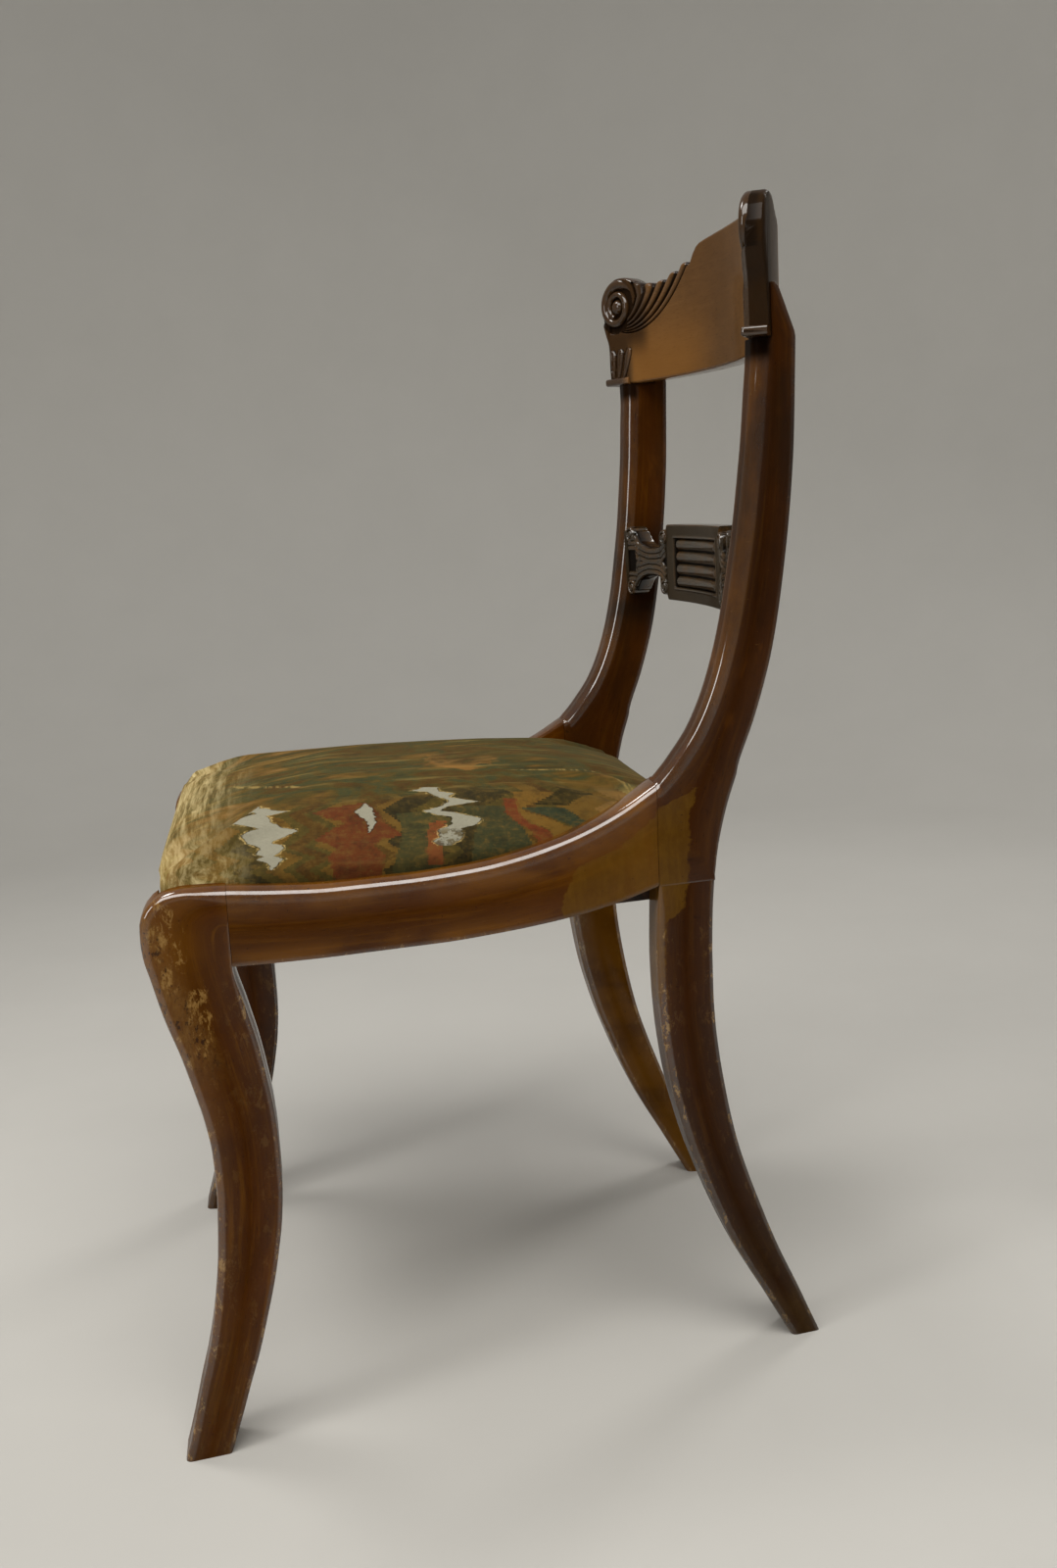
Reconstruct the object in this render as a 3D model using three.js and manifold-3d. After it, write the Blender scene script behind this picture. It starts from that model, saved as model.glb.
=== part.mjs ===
// A Regency sabre-leg side chair with a scroll-carved crest rail and a drop-in seat.
// Millimetres, +Z up. The chair faces -Y, and +X is the sitter's left.

import * as THREE from 'three';
import { mergeVertices } from 'three/addons/utils/BufferGeometryUtils.js';
import Module from 'manifold-3d';

const wasm = await Module();
wasm.setup();

// Overall sizes
const frontWidth = 450; // across the outer faces at the front knee
const rearWidth = 345; // the same faces carried back to the rear toe
const sideDepth = 485; // front of the knee to the rear toe
const seatHeight = 414; // floor to the top of the side rails at the front legs
const backHeight = 343; // from there up to the lower edge of the crest rail
const fit = 0.3; // clearance between pieces that touch
const overrun = 6; // how far a cutting shape runs past what it cuts

// The two side frames: front leg, side rail, rear leg and upright
const side = {
  legThickness: 33, // front leg, across the chair
  thickness: 30, // rear leg, upright and side rail, across the chair
  frontJoint: 58, // knee front to the joint of leg and side rail
  rearJointShare: 0.7485, // place of the joint of side rail and rear leg, of the side's depth
  railDepth: 55.5, // side rail, top to bottom
  sweepRise: 40, // how far the rail's top sweeps up before it meets the upright
  uprightSplay: 27, // outward lean of the upright at the crest
  footTuck: 6.5, // inward lean of the feet
  edgeRound: 9.5, // rounded front edges of the upright and top edge of the rail
  legRound: 4.5, // softened edges of the legs
  kneeRise: 1.5, // knee above the rail's top
  backTwist: 9, // extra depth left inside the upright to seat the curved crest
};

// The rebate that holds the drop-in seat
const rebate = {
  depth: 24, // below the rail's top
  lip: 15, // wood left outside the seat
  frontSetback: 13, // knee front to the seat's front edge
  rearOverlap: 38, // how far the seat reaches in between the uprights
};

const seatRail = {
  thickness: 24, // front and rear rails, front to back
  bottomShare: 0.862, // underside, as a share of the seat height
  tenonLength: 20,
  tenonThickness: 9,
  tenonShoulder: 6, // above and below the tenon
};

const sideTenon = { length: 17, cheek: 10, shoulder: 9 };

// The crest rail: a board bent to an arc, with a carved scroll at each end
const crest = {
  height: 107.5,
  overhang: 7.9, // volute past the upright's outer face
  radius: 414, // of its hollow front face
  proud: 7.8, // its front face before the upright's, at the upright's outer face
  thickness: 16.5,
  edge: 2.5, // softened top edge
  carving: 3.2, // depth of the ground that the carving stands in
  tenonInShare: 0.65, // place of the tenon, of the upright's thickness, in from the outer face
  tenonWidth: 16,
  tenonThickness: 6,
  tenonHeight: 13,
  lapRise: 35, // upright's tongue behind the crest
};

const volute = {
  inShare: 0.906, // place of its eye along the half length
  upShare: 0.647, // and up the crest's height
  eye: 8,
  ring: 10,
  start: 26.5, // radius where the roll leaves the fan
  decay: 0.0065, // how fast it winds in, per degree
  rollShare: 0.24, // the roll's own radius, of its distance from the eye
  from: 118, // degrees, turned from straight down towards the chair's middle
  turns: 1.5,
  stepsPerTurn: 13,
  rise: 0.8, // how far the roll stands out of the board
  ground: 24, // radius of the sunk ground round it
};

const fan = {
  flutes: 5, // gadroons that leave the volute
  linesPerFlute: 4,
  steps: 9,
  inner: 11.5, // radius at which the grooves converge
  outer: 17.3, // radius of the outer groove where it starts
  growth: 0.000098, // how fast the outer groove opens, per degree squared
  turn: -40, // degrees at which it starts to open
  firstShare: 0.98,
  stepShare: 0.07,
  bendShare: 0.01,
  startAngle: 8,
  startStep: 7,
  topAngle: 101,
  topTurn: 20,
  topFromShare: 0.8,
  topRangeShare: 0.334,
  fadeShare: 0.16, // of each gadroon's length, where it dies into the volute
  endBulge: 2.4, // degrees that a gadroon's round end stands past its grooves
  ridge: 0.5, // crest of a gadroon, out from the board
  groove: 2.8, // bottom of a groove, into the board
  root: 4.4, // depth of the carving's back inside the board
};

const leaf = {
  height: 27, width: 3.9, foot: 2.4, rise: 1.2,
  topShares: [0.925, 0.88, 0.83], footShares: [0.93, 0.9, 0.867],
};
const ledge = { outShare: 0.982, inShare: 0.835, height: 6.5, rise: 1.2 };

// The carved middle rail
const middle = {
  placeShare: 0.535, // place of its middle, of the way from the seat to the crest
  height: 65,
  radius: 600,
  inset: 6.4, // its front face behind the upright's
  thickness: 16,
  tabletHalf: 79,
  panelHalf: 62,
  panelHeight: 42,
  panelDepth: 2.6,
  reeds: 4,
  reedRadius: 4.6,
  reedRise: 0.5,
  tenonLength: 12,
  tenonThickness: 7,
  tenonHeight: 40,
  strandRadius: 2.7,
  strandRise: 1.6,
  strandInset: 3.2,
  strandPitch: 5,
  scrollRadius: 6.8,
  scrollRise: 2.4,
};

// Corner blocks under the seat, each held by two screws
const block = { leg: 46, height: 27, drop: 2, screwPlace: 32, screwDrop: 6 };
const screw = {
  head: 4, headHeight: 2.4, shank: 1.9, length: 29, slotWidth: 0.9, slotDepth: 0.9, sink: 2,
};

// The drop-in seat
const seat = {
  frameThickness: 18,
  sideMember: 44,
  endMember: 48,
  gap: 0.9, // between the cover and the rebate
  cloth: 1.2, // thickness of the cover
  webWidth: 50,
  webThickness: 1.6,
  hessian: 1,
  webLap: 30, // webbing carried on the frame
  edgeRise: 17, // rail's top to where the seat's crown starts
  crownRise: 24, // from there to the top of the crown
  frontBulge: 5.5,
  rearBulge: 4,
  frontCorner: 9, // radius of the front corners in plan
  rearCorner: 16,
  rearDrawShare: 0.3, // how fast the sides close in between the uprights
  tenonLength: 24,
};

// Profiles, as shares. Heights are shares of the seat height below the seat, and of the
// way from the seat to the crest above it. Places front to back are shares of the depth.
const frontLegShares = [
  [0, -0.0095, 0.0571], [0.06, 0.006, 0.0755], [0.121, 0.02, 0.0929], [0.18, 0.0346, 0.1103],
  [0.242, 0.0468, 0.1256], [0.3, 0.055, 0.1389], [0.362, 0.0623, 0.1502], [0.42, 0.0664, 0.1583],
  [0.483, 0.0695, 0.1624], [0.545, 0.0685, 0.1624], [0.604, 0.0623, 0.1604],
  [0.665, 0.0509, 0.1542], [0.725, 0.0384, 0.1461], [0.79, 0.0219, 0.1338],
];
// The leg's block and knee: shares of the way up from the rail's underside to the knee's
// top, and of the depth of the block
const kneeShares = [
  [0, 0.06, 1], [0.2, 0.016, 1], [0.4, 0, 1], [0.6, 0.007, 1], [0.72, 0.036, 1],
  [0.82, 0.1, 1], [0.9, 0.19, 1], [0.96, 0.31, 1], [1, 0.5, 0.93],
];
const rearLegShares = [
  [0, 0.9519, 1], [0.048, 0.9294, 0.9826], [0.097, 0.9069, 0.9652], [0.193, 0.8619, 0.9294],
  [0.29, 0.8251, 0.8988], [0.35, 0.8057, 0.8814], [0.411, 0.7873, 0.866], [0.47, 0.773, 0.8548],
  [0.531, 0.7607, 0.8456], [0.59, 0.7525, 0.8384], [0.652, 0.7464, 0.8333],
  [0.713, 0.7433, 0.8313], [0.773, 0.7423, 0.8313], [0.85, 0.7443, 0.8333],
];
// Where the side rail meets it, only the back edge is free: shares of the joint's height
const jointBackShares = [
  [0, 0.8374], [0.25, 0.8425], [0.5, 0.8507], [0.75, 0.8609], [1, 0.8742],
];
const uprightShares = [
  [0.028, 0.7648, 0.8778], [0.06, 0.7811, 0.8849], [0.119, 0.8072, 0.8993],
  [0.2, 0.8307, 0.9156], [0.284, 0.8476, 0.9294], [0.383, 0.8619, 0.9407],
  [0.482, 0.8722, 0.949], [0.58, 0.8814, 0.9557], [0.68, 0.8885, 0.9605], [0.78, 0.8947, 0.9633],
  [0.878, 0.8988, 0.9639], [0.97, 0.9023, 0.964],
];
const tongueShares = [
  [0.1, 0.9625], [0.35, 0.9551], [0.7, 0.9447], [0.92, 0.9381], [1, 0.9328],
];
// The rail's top and underside: shares of its length, and of the sweep's rise
const railTopShares = [
  [0, 0], [0.12, -0.1], [0.24, -0.16], [0.41, -0.165], [0.5, -0.14], [0.59, -0.09],
  [0.66, -0.01], [0.73, 0.1], [0.78, 0.2], [0.825, 0.315], [0.875, 0.47], [0.92, 0.635], [1, 1],
];
const railBottomShares = [
  [0, 0], [0.12, -0.035], [0.24, -0.05], [0.47, -0.05], [0.6, -0.01], [0.73, 0.07],
  [0.82, 0.16], [0.9, 0.28], [1, 0.49],
];
const crestLowShares = [[0, 0], [0.951, 0], [0.955, 0.25], [0.978, 0.428], [1, 0.558]];
const crestTopShares = [
  [0, 1], [0.11, 0.997], [0.2, 0.991], [0.26, 0.984], [0.305, 0.974], [0.35, 0.92],
  [0.37, 0.875], [0.377, 0.855], [0.444, 0.825], [0.51, 0.797], [0.57, 0.778], [0.64, 0.762],
  [0.71, 0.766], [0.771, 0.8], [0.803, 0.84], [0.861, 0.878], [0.897, 0.882], [0.946, 0.848],
  [0.982, 0.777], [1, 0.67],
];
const scrollOutlineShares = [
  [0.48, 0.66], [0.525, 0.56], [0.58, 0.43], [0.64, 0.39], [0.71, 0.385], [0.78, 0.43],
  [0.83, 0.52], [0.865, 0.68], [0.89, 0.82], [0.93, 0.86], [1, 0.85],
];
const scrollCentreShares = [[0.52, 0.66], [0.935, 0.74]];

// Rings of the seat's top: how far in, how far up from the rail to the edge, and how full
const crownSideShares = [[0, -0.2, 0.3], [0, 0.25, 1], [0.12, 0.62, 1], [0.45, 0.88, 0.85], [1, 1, 0.6]];
const crownShares = [0.86, 0.7, 0.52, 0.34, 0.17];
const crownCurveShare = 2.2;
const webColumnShares = [-0.5, 0, 0.5];
const webRowShares = [0.23, 0.5, 0.77];
const swellShare = 0.75;
const bossEdgeShare = 0.45;
const bossTopShare = 0.85;
const bossDomeShare = 0.8;
const leafSwellShare = 0.85;

// Finishes
const mahogany = { name: 'mahogany', color: 0x5a2813, roughness: 0.3, metalness: 0 };
const carvedMahogany = { name: 'carved_mahogany', color: 0x35201a, roughness: 0.42, metalness: 0 };
const beech = { name: 'beech', color: 0xb08a5c, roughness: 0.7, metalness: 0 };
const stainedBeech = { name: 'stained_beech', color: 0x4a3020, roughness: 0.6, metalness: 0 };
const jute = { name: 'jute', color: 0xa58a5e, roughness: 0.95, metalness: 0 };
const stuffing = { name: 'stuffing', color: 0xcabf9f, roughness: 1, metalness: 0 };
const velvet = { name: 'velvet', color: 0x7c6a2c, roughness: 0.9, metalness: 0 };
const steel = { name: 'steel', color: 0x6b6660, roughness: 0.5, metalness: 0.9 };

const chair = new THREE.Group();

function addPiece(name, geometry, finish) {
  const piece = new THREE.Mesh(geometry, new THREE.MeshStandardMaterial(finish));
  piece.name = name;
  chair.add(piece);
}

// Straight-line reading of a table whose rows start with the place along it
function along(table, place, column = 1) {
  const last = table.length - 1;
  if (place <= table[0][0]) return table[0][column];
  for (let i = 1; i <= last; i += 1) {
    if (place > table[i][0]) continue;
    const share = (place - table[i - 1][0]) / (table[i][0] - table[i - 1][0]);
    return THREE.MathUtils.lerp(table[i - 1][column], table[i][column], share);
  }
  return table[last][column];
}

const range = (count) => Array.from({ length: count + 1 }, (_, i) => i / count);

// A closed body from its points and triangles, turned so that its faces point out
function closedBody(points, triangles) {
  const geometry = new THREE.BufferGeometry();
  geometry.setAttribute('position', new THREE.Float32BufferAttribute(points.flatMap((p) => p.toArray()), 3));
  let volume = 0;
  for (const [a, b, c] of triangles) volume += points[a].dot(new THREE.Vector3().crossVectors(points[b], points[c]));
  const facing = volume < 0 ? triangles.map(([a, b, c]) => [a, c, b]) : triangles;
  geometry.setIndex(facing.flat());
  geometry.computeVertexNormals();
  return geometry;
}

// Triangles over one flat ring of points, facing along the ring's own normal
function ringCap(ring) {
  const normal = new THREE.Vector3();
  ring.forEach((p, i) => normal.add(new THREE.Vector3().crossVectors(p, ring[(i + 1) % ring.length])));
  normal.normalize();
  const across = new THREE.Vector3(Math.abs(normal.x) < 1 / 2 ? 1 : 0, Math.abs(normal.x) < 1 / 2 ? 0 : 1, 0);
  const u = new THREE.Vector3().crossVectors(normal, across).normalize();
  const v = new THREE.Vector3().crossVectors(normal, u);
  return THREE.ShapeUtils.triangulateShape(ring.map((p) => new THREE.Vector2(p.dot(u), p.dot(v))), []);
}

// A skin over a row of rings with the same number of points, capped at both ends
function loft(rings) {
  const size = rings[0].length;
  const triangles = [];
  for (let r = 0; r < rings.length - 1; r += 1) {
    for (let i = 0; i < size; i += 1) {
      const a = r * size + i;
      const b = r * size + ((i + 1) % size);
      triangles.push([a, b, b + size], [a, b + size, a + size]);
    }
  }
  const end = (rings.length - 1) * size;
  for (const [a, b, c] of ringCap(rings[0])) triangles.push([a, c, b]);
  for (const [a, b, c] of ringCap(rings[rings.length - 1])) triangles.push([a + end, b + end, c + end]);
  return closedBody(rings.flat(), triangles);
}

function solid(geometry) {
  const bare = geometry.clone();
  bare.deleteAttribute('normal');
  bare.deleteAttribute('uv');
  const merged = mergeVertices(bare);
  return new wasm.Manifold(new wasm.Mesh({
    numProp: 3,
    vertProperties: Float32Array.from(merged.attributes.position.array),
    triVerts: Uint32Array.from(merged.index.array),
  }));
}

function geometryOf(body) {
  const { vertProperties, triVerts } = body.getMesh();
  const geometry = new THREE.BufferGeometry();
  geometry.setAttribute('position', new THREE.Float32BufferAttribute(vertProperties, 3));
  geometry.setIndex(Array.from(triVerts));
  geometry.computeVertexNormals();
  return geometry;
}

// The main body of a cut piece, without the slivers of air or wood between its carvings
function largest(body) {
  return body.decompose().sort((a, b) => b.volume() - a.volume())[0];
}

// The same piece for the other side of the chair
function mirrored(geometry) {
  const copy = geometry.clone();
  copy.scale(-1, 1, 1);
  const order = copy.index.array;
  for (let i = 0; i < order.length; i += 3) [order[i], order[i + 1]] = [order[i + 1], order[i]];
  copy.computeVertexNormals();
  return copy;
}

function addPair(name, geometry, finish) {
  addPiece(`left_${name}`, geometry, finish);
  addPiece(`right_${name}`, mirrored(geometry), finish);
}

function box(low, high) {
  const size = high.clone().sub(low);
  const middlePoint = high.clone().add(low).multiplyScalar(1 / 2);
  return new THREE.BoxGeometry(size.x, size.y, size.z).translate(...middlePoint.toArray());
}

const crestBottom = seatHeight + backHeight;
const rearJoint = sideDepth * side.rearJointShare;
const rearReach = rearJoint + rebate.rearOverlap;
const ledgeHeight = seatHeight - rebate.depth;
const railBottom = seatHeight * seatRail.bottomShare;
const jointTop = seatHeight + side.sweepRise;
const lipCurveShare = 1.6;

// Outer face of a side frame: it closes in towards the back and leans out above the seat
function outerX(y, z) {
  const taper = ((frontWidth - rearWidth) / 2) * (y / sideDepth);
  const lean = z > seatHeight
    ? (side.uprightSplay * (z - seatHeight)) / (crestBottom - seatHeight)
    : -side.footTuck * (1 - z / seatHeight);
  return frontWidth / 2 - taper + lean;
}

function railTop(y) {
  const place = (y - side.frontJoint) / (rearJoint - side.frontJoint);
  return seatHeight + side.sweepRise * along(railTopShares, place);
}

function railUnderside(y) {
  const place = (y - side.frontJoint) / (rearJoint - side.frontJoint);
  return seatHeight - side.railDepth + side.sweepRise * along(railBottomShares, place);
}

// Wood left outside the seat: it widens to the rail's full thickness at the upright
function lipWidth(y) {
  const start = (side.frontJoint + rearJoint) / 2;
  const share = Math.max(0, (y - start) / (rearJoint - start));
  return rebate.lip + (side.thickness - fit * 2 - rebate.lip) * share ** lipCurveShare;
}

// Half width of the seat's recess at one place front to back
const recessHalf = (y) => outerX(y, ledgeHeight) - lipWidth(y);

// One level section of a leg or upright, with its front and back edges rounded
function legSection({ z, front, back, thickness, frontRound, backRound, twist = 0 }) {
  const corner = (outer, y, towards, round, sweep, count) => range(count).map((share) => {
    const angle = THREE.MathUtils.degToRad(sweep[0] + (sweep[1] - sweep[0]) * share);
    const turnY = y + towards * round * (1 - Math.sin(angle));
    const inset = round * (1 - Math.cos(angle));
    const lag = outer ? 0 : twist * ((y - front) / (back - front));
    return new THREE.Vector3(
      outerX(turnY, z) - (outer ? inset : thickness - inset), turnY + lag, z);
  });
  return [
    ...corner(true, front, 1, frontRound, [0, 90], 4),
    ...corner(false, front, 1, frontRound, [90, 0], 4),
    ...corner(false, back, -1, backRound, [0, 90], 1),
    ...corner(true, back, -1, backRound, [90, 0], 1),
  ];
}

// A straight bar inside a side frame, kept in from the outer and inner faces
function sideBar({ from, to, low, high, outer, inner, grow = 0 }) {
  const ring = (y) => [[outer - grow, low - grow], [outer - grow, high + grow], [inner + grow, high + grow],
    [inner + grow, low - grow]].map(([inset, z]) => new THREE.Vector3(outerX(y, z) - inset, y, z));
  return loft([ring(from - grow), ring(to + grow)]);
}

const tenonCheeks = { outer: sideTenon.cheek, inner: side.thickness - sideTenon.cheek };
const frontTenon = (grow) => sideBar({
  from: side.frontJoint - sideTenon.length, to: side.frontJoint + overrun, ...tenonCheeks, grow,
  low: railUnderside(side.frontJoint) + sideTenon.shoulder, high: ledgeHeight - sideTenon.shoulder / 2,
});
const rearTenon = (grow) => sideBar({
  from: rearJoint - overrun, to: rearJoint + sideTenon.length, ...tenonCheeks, grow,
  low: railUnderside(rearJoint) + sideTenon.shoulder / 2, high: ledgeHeight + sideTenon.shoulder,
});

// The seat's recess as a cutting shape, open at the top
function recessCutter(grow) {
  const top = jointTop + overrun;
  const places = range(12).map((share) => THREE.MathUtils.lerp(rebate.frontSetback, rearJoint, share));
  return loft(places.map((y) => {
    const half = recessHalf(y) + grow;
    return [[-half, ledgeHeight], [half, ledgeHeight], [half, top], [-half, top]]
      .map(([x, z]) => new THREE.Vector3(x, y, z));
  }));
}

// Front or rear seat rail between two legs, with a tenon at each end
const railTenonFront = (frontFace) => frontFace + (seatRail.thickness - seatRail.tenonThickness) / 2;

function seatRailTenon(frontFace, legInner, grow = 0) {
  const half = legInner(frontFace) + seatRail.tenonLength + grow;
  const front = railTenonFront(frontFace);
  return solid(box(
    new THREE.Vector3(-half, front - grow, railBottom + seatRail.tenonShoulder - grow),
    new THREE.Vector3(half, front + seatRail.tenonThickness + grow, ledgeHeight - seatRail.tenonShoulder + grow)));
}

function seatRailBody(frontFace, legInner) {
  const ring = (y) => [[-1, railBottom], [1, railBottom], [1, ledgeHeight], [-1, ledgeHeight]]
    .map(([hand, z]) => new THREE.Vector3(hand * (legInner(y) - fit), y, z));
  const body = solid(loft([ring(frontFace), ring(frontFace + seatRail.thickness)]));
  return body.add(seatRailTenon(frontFace, legInner));
}

const frontLegInner = (y) => outerX(y, railBottom) - side.legThickness;
const rearLegInner = (y) => outerX(y, railBottom) - side.thickness;
const rearRailFront = rearReach - seatRail.thickness;
const frontRailFront = rebate.frontSetback + seat.cloth;

// Front leg: a sabre curve under a block whose knee is rounded over
function frontLeg() {
  const blockBottom = railUnderside(side.frontJoint);
  const rise = seatHeight + side.kneeRise - blockBottom;
  const shape = { thickness: side.legThickness, frontRound: side.legRound, backRound: side.legRound / 2 };
  const curve = frontLegShares
    .filter(([zShare]) => seatHeight * zShare < blockBottom - overrun)
    .map(([zShare, front, back]) => legSection({
      z: seatHeight * zShare, front: sideDepth * front, back: sideDepth * back, ...shape }));
  const knee = kneeShares.map(([zShare, front, back]) => legSection({
    z: blockBottom + rise * zShare, front: side.frontJoint * front, back: side.frontJoint * back, ...shape }));
  return geometryOf(solid(loft([...curve, ...knee]))
    .subtract(solid(recessCutter(0)))
    .subtract(solid(frontTenon(fit)))
    .subtract(seatRailTenon(frontRailFront, frontLegInner, fit)));
}

// Side rail: a bowed top edge that sweeps up to the upright, rebated inside for the seat
function sideRail(screwHoles) {
  const softEdge = side.legRound / 2;
  const ring = (y) => {
    const top = railTop(y);
    const low = railUnderside(y);
    const lip = lipWidth(y);
    const nose = range(4).map((share) => {
      const angle = (Math.PI / 2) * share;
      return [side.edgeRound * (1 - Math.cos(angle)), top - side.edgeRound * (1 - Math.sin(angle))];
    });
    const section = [[softEdge, low], [0, low + softEdge], ...nose, [lip - softEdge / 2, top],
      [lip, top - softEdge / 2], [lip, ledgeHeight], [side.thickness, ledgeHeight], [side.thickness, low]];
    return section.map(([inset, z]) => new THREE.Vector3(outerX(y, z) - inset, y, z));
  };
  const from = side.frontJoint + fit;
  const to = rearJoint - fit;
  const body = solid(loft(range(18).map((share) => ring(from + (to - from) * share))));
  const jointed = body.add(solid(frontTenon(0))).add(solid(rearTenon(0)));
  return geometryOf(screwHoles.reduce((rest, hole) => rest.subtract(hole), jointed));
}

// A board bent about an upright axis: along its arc, up, and back from its front face
function bender(radius, halfChord, setback) {
  const axis = setback - Math.sqrt(radius ** 2 - halfChord ** 2);
  return (s, z, depth) => {
    const angle = s / radius;
    return new THREE.Vector3((radius + depth) * Math.sin(angle), axis + (radius + depth) * Math.cos(angle), z);
  };
}

// A round rod carved along a path on a bent board; each path point is [s, z, radius, depth]
function rod(bend, path, sides = 7) {
  return solid(loft(path.map(([s, z, radius, depth], i) => {
    const before = path[Math.max(0, i - 1)];
    const after = path[Math.min(path.length - 1, i + 1)];
    const heading = Math.atan2(after[1] - before[1], after[0] - before[0]);
    return range(sides).slice(0, -1).map((share) => {
      const turn = 2 * Math.PI * share;
      const across = radius * Math.cos(turn);
      return bend(s - across * Math.sin(heading), z + across * Math.cos(heading),
        depth - radius * Math.sin(turn));
    });
  })));
}

// A turned boss on a bent board: a disc with a domed front
function boss(bend, s, z, radius, rise, back, sides = 12) {
  const profile = [[1, back], [1, -rise * bossEdgeShare],
    [bossTopShare, -rise * bossDomeShare], [bossEdgeShare, -rise]];
  return solid(loft(profile.map(([share, depth]) => range(sides).slice(0, -1).map((part) => {
    const turn = 2 * Math.PI * part;
    return bend(s + radius * share * Math.cos(turn), z + radius * share * Math.sin(turn), depth);
  }))));
}

// A square-edged bar on a bent board
function bentBar(bend, { from, to, low, high, front, back, steps = 1 }) {
  return solid(loft(range(steps).map((share) => {
    const s = from + (to - from) * share;
    return [bend(s, low, front), bend(s, high, front), bend(s, high, back), bend(s, low, back)];
  })));
}

// The crest ends a little past the uprights' outer faces, and stands a little before them
const crestSeatY = sideDepth * along(uprightShares, 1);
const crestChord = outerX(crestSeatY - crest.proud, crestBottom);
const arcOf = (x, radius) => radius * Math.asin(x / radius);
const crestHalf = arcOf(crestChord, crest.radius) + crest.overhang;
const crestBend = bender(crest.radius, crestChord, crestSeatY - crest.proud);

function crestBoard() {
  const places = [...new Set([...crestTopShares, ...crestLowShares].map(([place]) => place))].sort((a, b) => a - b);
  const stations = [...places.slice(1).reverse().map((place) => -place), ...places];
  return solid(loft(stations.map((place) => {
    const low = crestBottom + crest.height * along(crestLowShares, Math.abs(place));
    const top = crestBottom + crest.height * along(crestTopShares, Math.abs(place));
    const section = [[low, 0], [top - crest.edge, 0], [top, crest.edge],
      [top, crest.thickness - crest.edge], [top - crest.edge, crest.thickness], [low, crest.thickness]];
    return section.map(([z, depth]) => crestBend(crestHalf * place, z, depth));
  })));
}

const eye = {
  s: crestHalf * volute.inShare,
  z: crestBottom + crest.height * volute.upShare,
};

// A point at an angle and distance from the volute's eye, the angle turned from straight
// down towards the middle of the chair
function aboutEye(degrees, distance) {
  const angle = THREE.MathUtils.degToRad(degrees);
  return [eye.s - distance * Math.sin(angle), eye.z - distance * Math.cos(angle)];
}

// Groove lines of the gadroon fan: spirals that open out from under the volute
function groovePlace(flute) {
  return fan.firstShare - fan.stepShare * flute - fan.bendShare * flute ** 2;
}

function grooveDistance(spread, degrees) {
  const turn = Math.min(degrees, fan.topAngle) - fan.turn;
  const outer = fan.outer * Math.exp(fan.growth * turn ** 2);
  return fan.inner * (outer / fan.inner) ** spread;
}

function gadroonFan(hand, ground = false) {
  const root = ground ? crest.carving : fan.root;
  const lines = range(fan.flutes * fan.linesPerFlute).map((share) => {
    const flute = share * fan.flutes;
    const spread = groovePlace(flute);
    const swell = Math.abs(Math.sin(Math.PI * flute));
    const start = fan.startAngle + fan.startStep * flute;
    const turnBack = Math.max(0, (fan.topFromShare - spread) / fan.topRangeShare);
    const end = fan.topAngle + fan.topTurn * turnBack ** 2 + fan.endBulge * swell;
    return range(fan.steps).map((step) => {
      const degrees = start + (end - start) * step;
      const fade = Math.min(1, step / fan.fadeShare);
      const carved = (fan.ridge + fan.groove) * swell ** swellShare * fade - fan.groove;
      const height = ground ? overrun : carved;
      return [...aboutEye(degrees, grooveDistance(spread, degrees)), height];
    });
  });
  const columns = lines[0].length;
  const points = [];
  for (const line of lines) for (const [s, z, height] of line) points.push(crestBend(hand * s, z, -height));
  for (const line of lines) for (const [s, z] of line) points.push(crestBend(hand * s, z, root));
  const under = lines.length * columns;
  const triangles = [];
  const quad = (a, b, c, d) => triangles.push([a, b, c], [a, c, d]);
  for (let i = 0; i < lines.length - 1; i += 1) {
    for (let j = 0; j < columns - 1; j += 1) {
      const a = i * columns + j;
      quad(a, a + columns, a + columns + 1, a + 1);
      quad(a + under, a + 1 + under, a + columns + 1 + under, a + columns + under);
    }
  }
  for (let j = 0; j < columns - 1; j += 1) {
    const last = (lines.length - 1) * columns + j;
    quad(j, j + 1, j + 1 + under, j + under);
    quad(last, last + under, last + 1 + under, last + 1);
  }
  for (let i = 0; i < lines.length - 1; i += 1) {
    const a = i * columns;
    const b = a + columns - 1;
    quad(a, a + under, a + columns + under, a + columns);
    quad(b, b + columns, b + columns + under, b + under);
  }
  return solid(closedBody(points, triangles));
}

// The volute's roll: one rod that winds in round the eye and thins as it goes
function voluteRoll(hand) {
  const path = range(Math.round(volute.turns * volute.stepsPerTurn)).map((share) => {
    const turned = share * volute.turns * 360;
    const distance = volute.ring + (volute.start - volute.ring) * Math.exp(-volute.decay * turned);
    const [s, z] = aboutEye(volute.from + turned, distance);
    const radius = distance * volute.rollShare;
    return [hand * s, z, radius, Math.max(radius - volute.rise, crest.carving)];
  });
  return rod(crestBend, path, 6);
}

function crestLeaf(hand) {
  const foot = crestBottom + ledge.height / 2;
  return leaf.topShares.map((top, i) => rod(crestBend, range(3).map((share) => {
    const place = THREE.MathUtils.lerp(leaf.footShares[i], top, share);
    const radius = THREE.MathUtils.lerp(leaf.foot, leaf.width, Math.sin(Math.PI * share * leafSwellShare));
    return [hand * crestHalf * place, foot + leaf.height * share, radius, radius - leaf.rise];
  })));
}

function crestTenon(hand, grow) {
  const middlePlace = hand * arcOf(crestChord - side.thickness * crest.tenonInShare, crest.radius);
  const half = crest.tenonWidth / 2 + grow;
  const front = (crest.thickness - crest.tenonThickness) / 2 - grow;
  return bentBar(crestBend, {
    from: middlePlace - half, to: middlePlace + half,
    low: crestBottom - overrun, high: crestBottom + crest.tenonHeight + grow,
    front, back: crest.thickness - front,
  });
}

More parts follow.
